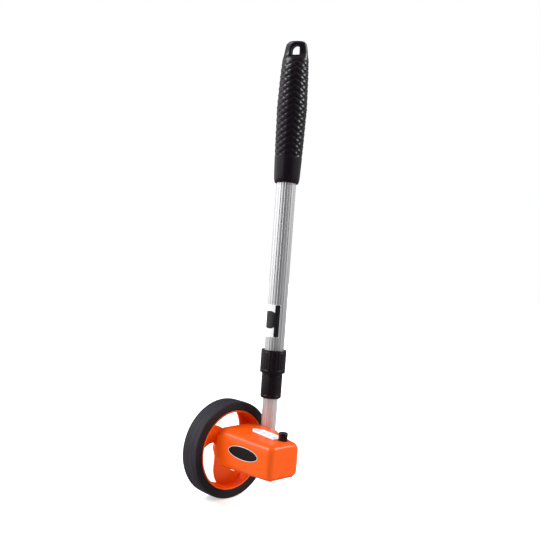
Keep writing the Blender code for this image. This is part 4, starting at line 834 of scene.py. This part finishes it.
print("through 1, 1, 0 at 1.5:", through(np.arange(3.0), np.array([1.0, 1.0, 0.0]), 1.5))

# %% [markdown]
# The grip is a barrel of rubber, pulled over the tube and pressed flat at the
# top round a hole to hang it by. Its section is an ellipse whose two radii
# change with height, so both are curves through a few measured heights. The
# barrel is covered with raised diamonds, wider than tall, eight to the turn.
# Two sets of slanting grooves cross there and part them.

# %% Grip
GRIP_R, GRIP_BORE = 15.4 * MM, 10.2 * MM
GRIP_COLUMNS = 224
DIAMONDS_ROUND, DIAMOND_PITCH = 8, 6.27 * MM
DIAMOND_TURN, DIAMOND_MIDDLE = math.radians(24.3), 358.8 * MM
RELIEF = 0.65 * MM
RELIEF_FROM, RELIEF_TO = (294.5 * MM, 298.5 * MM), (390.0 * MM, 394.5 * MM)
GRIP_HEIGHTS = np.array([0.0, 0.007, 0.033, 0.155, 0.277, 0.480, 0.513, 0.654,
                         0.78, 0.87, 0.89, 0.91, 0.939, 0.983, 0.9944, 1.0])
GRIP_WIDE = np.array([0.765, 0.795, 0.84, 0.892, 0.94, 0.987, 1.0, 0.967,
                      0.925, 0.877, 0.845, 0.81, 0.776, 0.682, 0.584, 0.526])
GRIP_THIN = np.array([0.765, 0.795, 0.84, 0.892, 0.94, 0.987, 1.0, 0.967,
                      0.90, 0.66, 0.52, 0.42, 0.375, 0.35, 0.31, 0.27])


def diamonds(angle, height):
    """Raised diamonds from 0 to 1. u counts columns round the grip and v rows up it. The lines
    lie where u+v and u-v are whole, and the height is the product of the sines of both, to the
    power of 0.8: a dome in each diamond."""
    u = (angle - DIAMOND_TURN) * DIAMONDS_ROUND / (2 * np.pi)
    v = (height - DIAMOND_MIDDLE) / DIAMOND_PITCH + 0.5
    return np.abs(np.sin(np.pi * (u + v)) * np.sin(np.pi * (u - v))) ** 0.8


grip_low, grip_high = span("grip")
shares = np.concatenate([np.linspace(0, 0.012, 6)[:-1], np.linspace(0.012, 0.97, 270)[:-1],
                         1 - 0.03 * np.cos(np.linspace(0, np.pi / 2, 16)) ** 1.5])
height = (grip_low + (grip_high - grip_low) * shares)[:, None]
angle = (np.arange(GRIP_COLUMNS) * 2 * np.pi / GRIP_COLUMNS)[None, :]
wide = through(GRIP_HEIGHTS, GRIP_WIDE, shares)[:, None] * GRIP_R
thin = through(GRIP_HEIGHTS, GRIP_THIN, shares)[:, None] * GRIP_R
raised = smooth_step(height, *RELIEF_FROM) * (1 - smooth_step(height, *RELIEF_TO))
relief = (diamonds(angle, height) - 1.0) * RELIEF * raised
outside = np.stack([(thin + relief) * np.cos(angle), (wide + relief) * np.sin(angle),
                    height + 0 * angle], -1)
mouth = np.array([(0.0, 116.0), (0.0, 60.0), (0.0, 0.6), (0.3, 0.1), (0.7, 0.0)]) * MM
mouth = mouth + (GRIP_BORE, grip_low)
grip_points, grip_faces = skin(np.concatenate([turned(mouth, GRIP_COLUMNS), outside]))
grip_points = on_pole(grip_points, UPPER_TURN)
print("grip from", round(grip_low, 4), "to", round(grip_high, 4))

# %% [markdown]
# The hang hole is an arch with a flat floor that widens towards both faces.
# Cutting it with a Boolean is simplest: the cutter is its outline carried
# through the tongue, larger at both ends. The result is stored as a plain
# mesh, so no modifier is left on the piece.

# %% Hang hole
HOLE_HALF, HOLE_RISE = 4.7 * MM, 5.3 * MM
BRIDGE = 3.1 * MM
hole_middle = grip_high - BRIDGE - HOLE_RISE
depth = np.concatenate([-np.linspace(16, 4, 9), np.linspace(4, 16, 9)])[:, None] * MM
margin = np.maximum(np.abs(depth) - 4.0 * MM, 0) * 0.7
arc = np.radians(np.linspace(0, 180, 21))
across = np.concatenate([[1.0, 1.0], np.cos(arc)[1:-1], [-1.0, -1.0]])
upward = np.concatenate([[-1.0, 0.0], np.sin(arc)[1:-1], [0.0, -1.0]])
hole_grid = np.stack([depth + 0 * across, (HOLE_HALF + margin) * across,
                      hole_middle + (HOLE_RISE + margin) * upward], -1)
hole_points, hole_faces = skin(hole_grid)
hole_points = on_pole(hole_points, UPPER_TURN)


def plain_object(name, points, faces):
    """A helper object with outward faces, not yet a piece."""
    mesh = bpy.data.meshes.new(name)
    mesh.from_pydata(points.tolist(), [], faces)
    work = bmesh.new()
    work.from_mesh(mesh)
    bmesh.ops.recalc_face_normals(work, faces=work.faces)
    work.to_mesh(mesh)
    work.free()
    return add_object(name, mesh)


def evaluated_mesh(holder):
    """A plain mesh of an object as its modifiers leave it, or of a line of text."""
    bpy.context.view_layer.update()
    graph = bpy.context.evaluated_depsgraph_get()
    return bpy.data.meshes.new_from_object(holder.evaluated_get(graph))


blank = plain_object("grip_blank", grip_points, grip_faces)
cutter = plain_object("hole_cutter", hole_points, hole_faces)
cut = blank.modifiers.new("hang_hole", "BOOLEAN")
cut.operation = "DIFFERENCE"
cut.solver = "EXACT"
cut.object = cutter
grip_mesh = evaluated_mesh(blank)
for helper in (blank, cutter):
    bpy.data.objects.remove(helper)
dress("grip_barrel", grip_mesh, grip_rubber, "grip", sharp=50)

# %% [markdown]
# A paper label is stuck round the outer tube. Its print here is generic: a
# dark rounded patch and a dark bar along one edge. Both are drawn by the
# finish, from the angle round the pole and the height, so they lie flat on the
# paper as print does.

# %% Label print
label_low, label_high = span("tube_label")
LABEL_MIDDLE = (label_low + label_high) / 2
LABEL_BORE, LABEL_PAPER, LABEL_R = 10.2 * MM, 0.28 * MM, 10.5 * MM
INK = (0.012, 0.011, 0.014)
paper = Finish("label_paper", (0.85, 0.85, 0.87), 0.35)
from_pole = paper.axis(1) - float(POLE[1])
beside = paper.axis(0) - float(POLE[0])
turn_angle = from_pole.maths("ARCTAN2", beside) * (180 / math.pi)
up_label = paper.axis(2) - float(AXLE[2])


def printed(degrees, height, half_x, half_y, corner):
    """A rounded rectangle on the label, about a direction round the pole and a height. The
    distance round the label is its radius times the angle from that direction."""
    x = (turn_angle - degrees) * (math.pi / 180 * LABEL_R)
    y = up_label - float(LABEL_MIDDLE + height)
    return patch(x, y, half_x, half_y, corner)


bar = printed(50.0, 0.0, 2.6 * MM, 16.2 * MM, 1.3 * MM)
emblem_box = printed(8.0, 1.0 * MM, 6.6 * MM, 8.8 * MM, 1.0 * MM)
emblem_disc = printed(4.0, 1.0 * MM, 9.0 * MM, 8.8 * MM, 8.0 * MM)
print_mask = bar.maths("MAXIMUM", emblem_box * emblem_disc)
fibres = paper.noise(900.0)
paper_colour = paper.mix(fibres, (0.80, 0.80, 0.82), (0.92, 0.92, 0.94))
paper.feed("Base Color", paper.mix(print_mask, paper_colour, INK))
paper.feed("Roughness", 0.3 + fibres * 0.15)
paper.bump(fibres, 0.005 * MM)
print("label finish:", len(paper.tree.nodes), "nodes")

# %% [markdown]
# The paper itself is a thin curved strip. Its section, seen along the pole, is
# an outer arc and an inner arc back, and four rows carry it up the tube.

# %% Label paper
LABEL_ENDS = (math.radians(-52.5), math.radians(37.5))
arc_out = np.linspace(*LABEL_ENDS, 49)
label_angle = np.concatenate([arc_out, arc_out[::-1]])
label_radius = np.repeat([LABEL_BORE + LABEL_PAPER, LABEL_BORE], len(arc_out))
rows = np.array([label_low, label_low + 0.1 * MM, label_high - 0.1 * MM, label_high])[:, None]
label_grid = np.stack([label_radius * np.cos(label_angle) + 0 * rows,
                       label_radius * np.sin(label_angle) + 0 * rows,
                       rows + 0 * label_angle], -1)
label_skin = skin(on_pole(label_grid, UPPER_TURN))
put("label_band", [label_skin], paper, "tube_label")

# %% [markdown]
# The badge on the housing's side is a black oval plate, slightly domed, with a
# thin pale rim. It is left blank. Both pieces are ovals computed in the plane
# of the tapered side: u along the housing, v up, and lift outwards.

# %% Badge
BADGE_HALF = (19.0 * MM, 6.3 * MM)
BADGE_TAPER = math.atan2(FRONT_NARROWING, HOUSING_LENGTH)
badge_low, badge_high = box_of("badge")
BADGE_CENTRE = (badge_low + badge_high) / 2
BADGE_CENTRE[0] = AXLE[0] + front_half(BADGE_CENTRE[1])
along = np.array([-math.sin(BADGE_TAPER), math.cos(BADGE_TAPER), 0.0])
outward = np.array([math.cos(BADGE_TAPER), math.sin(BADGE_TAPER), 0.0])
upright = np.array([0.0, 0.0, 1.0])


def oval_ring(profile, count=160):
    """Rows of (inset, lift) points carried round an oval: its half axes less the inset, and
    the lift out of the plane."""
    a = (np.arange(count) * 2 * np.pi / count)[None, :, None]
    inset, lift = profile[:, None, :1], profile[:, None, 1:]
    u = (BADGE_HALF[0] - inset) * np.cos(a)
    v = (BADGE_HALF[1] - inset) * np.sin(a)
    return BADGE_CENTRE + u * along + v * upright + lift * outward


plate = np.array([(0.9, -0.25), (0.45, -0.25), (0.45, 0.22), (0.6, 0.30), (1.0, 0.34),
                  (2.4, 0.37), (4.2, 0.39), (6.0, 0.40)]) * MM
put("badge_plate", [skin(oval_ring(plate))], black, "badge")
rim_finish = Finish("badge_rim", (0.72, 0.66, 0.60), 0.4)
rim_finish.feed("Roughness", 0.3 + rim_finish.noise(900.0) * 0.2)
rim_corners = [(0.55, -0.25, 0.05), (0.0, -0.25, 0.05), (0.0, 0.42, 0.12), (0.55, 0.42, 0.12)]
rim_skin = skin(oval_ring(rounded(rim_corners, 4) * MM), ring=True)
put("badge_edge", [rim_skin], rim_finish, "badge", stands=False)

# %% [markdown]
# Pressing the black button clears the counter. It is a plain round pin with a
# softly rounded top, a touch wider than its stem. Its flange sits inside the
# housing and stops it. One profile from the foot to the top makes it.

# %% Reset button
STEM_R, FLANGE_R, NECK_R, CAP_R = 1.4 * MM, 5.3 * MM, 4.3 * MM, 4.5 * MM
CAP_ROUND = 1.1 * MM
button_low, button_high = box_of("reset_button")
BUTTON = (button_low + button_high) / 2 * (1, 1, 0)
foot, top = button_low[2], button_high[2]
outline = np.array([
    (STEM_R, foot), (STEM_R, foot + 6.0 * MM), (FLANGE_R, foot + 6.0 * MM),
    (FLANGE_R, foot + 7.2 * MM), (NECK_R, foot + 7.2 * MM), (NECK_R, top - 3.4 * MM),
    (CAP_R - 0.05 * MM, top - 3.0 * MM), (CAP_R, top - 1.3 * MM),
])
cap_bend = np.linspace(0, np.pi / 2, 9)[1:]
cap = np.stack([CAP_R - CAP_ROUND * (1 - np.cos(cap_bend)),
                top - CAP_ROUND * (1 - np.sin(cap_bend))], -1)
dome = np.array([(2.6 * MM, top), (1.2 * MM, top)])
button_skin = skin(turned(np.vstack([outline, cap, dome]), 64) + BUTTON)
put("button_pin", [button_skin], black, "reset_button")

# %% [markdown]
# Four drums count inches, feet, tens and hundreds of feet. The first goes
# round with the wheel, so it bears 0 to 11, and the others bear 0 to 9. The
# digits come from Blender's own font. A line of text is a curve, so it is made
# a mesh before its points can be moved.

# %% Digits as meshes
DIGIT_THICK = 0.05 * MM
ONE_DIGIT, TWO_DIGITS = 4.6 * MM, 3.8 * MM
ink = Finish("digit_ink", (0.02, 0.02, 0.03), 0.5)
ink.feed("Roughness", 0.4 + ink.noise(1200.0) * 0.2)


def glyphs(text, size):
    """Points (across, up, out) and faces of a line of text in Blender's own font."""
    curve = bpy.data.curves.new("digit", "FONT")
    curve.body = text
    curve.size = size
    curve.align_x = "CENTER"
    curve.align_y = "CENTER"
    curve.extrude = DIGIT_THICK / 2
    curve.resolution_u = 3
    curve.render_resolution_u = 3
    holder = add_object("digit", curve)
    mesh = evaluated_mesh(holder)
    points = np.empty(len(mesh.vertices) * 3)
    mesh.vertices.foreach_get("co", points)
    faces = [list(face.vertices) for face in mesh.polygons]
    bpy.data.objects.remove(holder)
    return points.reshape(-1, 3), faces


print("digits", round(ONE_DIGIT / MM, 1), "mm, or", round(TWO_DIGITS / MM, 1), "where two stand")

# %% [markdown]
# Each point is wrapped onto its drum: how high it stands in the line becomes an
# angle round the drum. So the digits follow the curved rim, as print does.

# %% Digits on the drums
drum_low, drum_high = box_of("drum_inches")
DRUM = (drum_low + drum_high) / 2
DRUM_R = 8.0 * MM


def on_drum(points, turn, y):
    """Wrap points onto the drum: its angle from the top is turn + up / radius, its distance
    from the axis radius + out, and its place along the axis y - across."""
    a = turn + points[:, 1] / DRUM_R
    r = DRUM_R + 0.03 * MM + points[:, 2]
    return np.stack([DRUM[0] + r * np.sin(a), y - points[:, 0], DRUM[2] + r * np.cos(a)], -1)


for node, count in DIGITS_ON.items():
    marks = []
    for number in range(count):
        points, faces = glyphs(str(number), ONE_DIGIT if number < 10 else TWO_DIGITS)
        turn = 2 * math.pi * number / count
        marks.append((on_drum(points, turn, sum(drum_rim(node)) / 2), faces))
    put("digits_" + BODY_OF[node], marks, ink, node, stands=False)

# %% [markdown]
# The floor is a wide pale sheet. It takes a soft contact shadow and shows the
# object standing on its wheel. A product picture wants it white, though black
# rubber would then mirror it and turn grey. So the floor glows a little for
# the camera, and is left out of reflections and bounced light. It isn't part
# of the object.

# %% Floor
FLOOR_HALF, FLOOR_DROP = 6.0, 0.2 * MM
WHITE = (1.0, 1.0, 1.0, 1.0)
paint = Finish("floor_paint", (0.90, 0.90, 0.90), 0.9,
               emission_color=WHITE, emission_strength=0.50)
paint.feed("Roughness", 0.85 + paint.noise(30.0) * 0.1)
floor_mesh = bpy.data.meshes.new("floor")
floor_corners = [(x * FLOOR_HALF, y * FLOOR_HALF, -FLOOR_DROP)
                 for x, y in ((-1, -1), (1, -1), (1, 1), (-1, 1))]
floor_mesh.from_pydata(floor_corners, [], [(0, 1, 2, 3)])
floor_mesh.materials.append(paint.material)
floor = add_object("floor", floor_mesh)
floor.visible_glossy = False
floor.visible_diffuse = False
print("floor is", 2 * FLOOR_HALF, "m wide")

# %% [markdown]
# The photograph is lit from both sides: the tube's left third is blown out, the
# black parts are dark in the middle and bright at their flanks, and the
# housing's upright corner, which faces the camera, is darker than both its
# neighbours. The world does the same. It is dim, with a broad bright panel to
# the camera's left, a weaker one to its right, and a dark patch where the
# photographer stood. Matt surfaces also get light from below, which stands for
# the bounce of the floor. What the camera sees directly is white.

# %% World
scene = bpy.context.scene
scene.view_settings.view_transform = "Standard"
world = bpy.data.worlds.new("studio")
scene.world = world
world.use_nodes = True


class Sky(Finish):
    """The world's node tree, with the same helpers."""

    def __init__(self, tree):
        self.tree = tree
        self.place = self.node("ShaderNodeTexCoord", out="Generated")

    def towards(self, direction):
        """Cosine between the ray and a direction."""
        length = math.sqrt(sum(part * part for part in direction))
        unit = tuple(part / length for part in direction)
        settings = {"operation": "DOT_PRODUCT"}
        return self.node("ShaderNodeVectorMath", settings, {0: self.place, 1: unit}, out="Value")


sky = Sky(world.node_tree)
height_above = sky.towards((0.0, 0.0, 1.0))
to_left = sky.towards((-RIGHT[0], -RIGHT[1], 0.0))
to_right = sky.towards((RIGHT[0], RIGHT[1], 0.0))
left_panel = to_left.step(0.55, 0.70) * height_above.step(-0.20, 0.02)
right_panel = to_right.step(0.50, 0.90) * height_above.step(-0.10, 0.12)
ceiling = height_above.step(0.55, 0.90)
bounce = height_above.step(0.10, -0.30)
behind_camera = sky.towards((-FORWARD[0], -FORWARD[1], 0.0)).step(0.35, 0.85)
panels = left_panel * 1.2 + right_panel * 0.42 + ceiling * 0.25
glow = 0.22 + panels - behind_camera * 0.18
scattered = sky.node("ShaderNodeLightPath", out="Is Diffuse Ray")
seen = sky.node("ShaderNodeLightPath", out="Is Camera Ray")
backdrop = sky.tree.nodes["Background"]
strength = (glow + (bounce * 1.1 + 0.12) * scattered).maths("MAXIMUM", seen)
sky.tree.links.new(strength.socket, backdrop.inputs["Strength"])
backdrop.inputs["Color"].default_value = WHITE
print("world:", len(sky.tree.nodes), "nodes")

# %% [markdown]
# Two broad suns, one from each side, give the light its direction. A sun lights
# the whole floor evenly, so no edge of the floor shows. Each has a wide angle,
# like a big soft box, so shadows are soft and highlights broad. Both stand high,
# so the housing's level top doesn't mirror them towards a low camera.

# %% Suns
def sun(name, direction, power, degrees):
    """A sun that shines from a direction, as wide as an angle."""
    data = bpy.data.lights.new(name, "SUN")
    data.energy = power
    data.angle = math.radians(degrees)
    made = add_object(name, data)
    made.rotation_euler = Vector(direction).to_track_quat("Z", "Y").to_euler()
    print(name, "from", direction)


sun("left_sun", (0.68, -0.54, 0.85), 1.8, 24)
sun("right_sun", (-0.62, 0.62, 0.62), 2.1, 22)
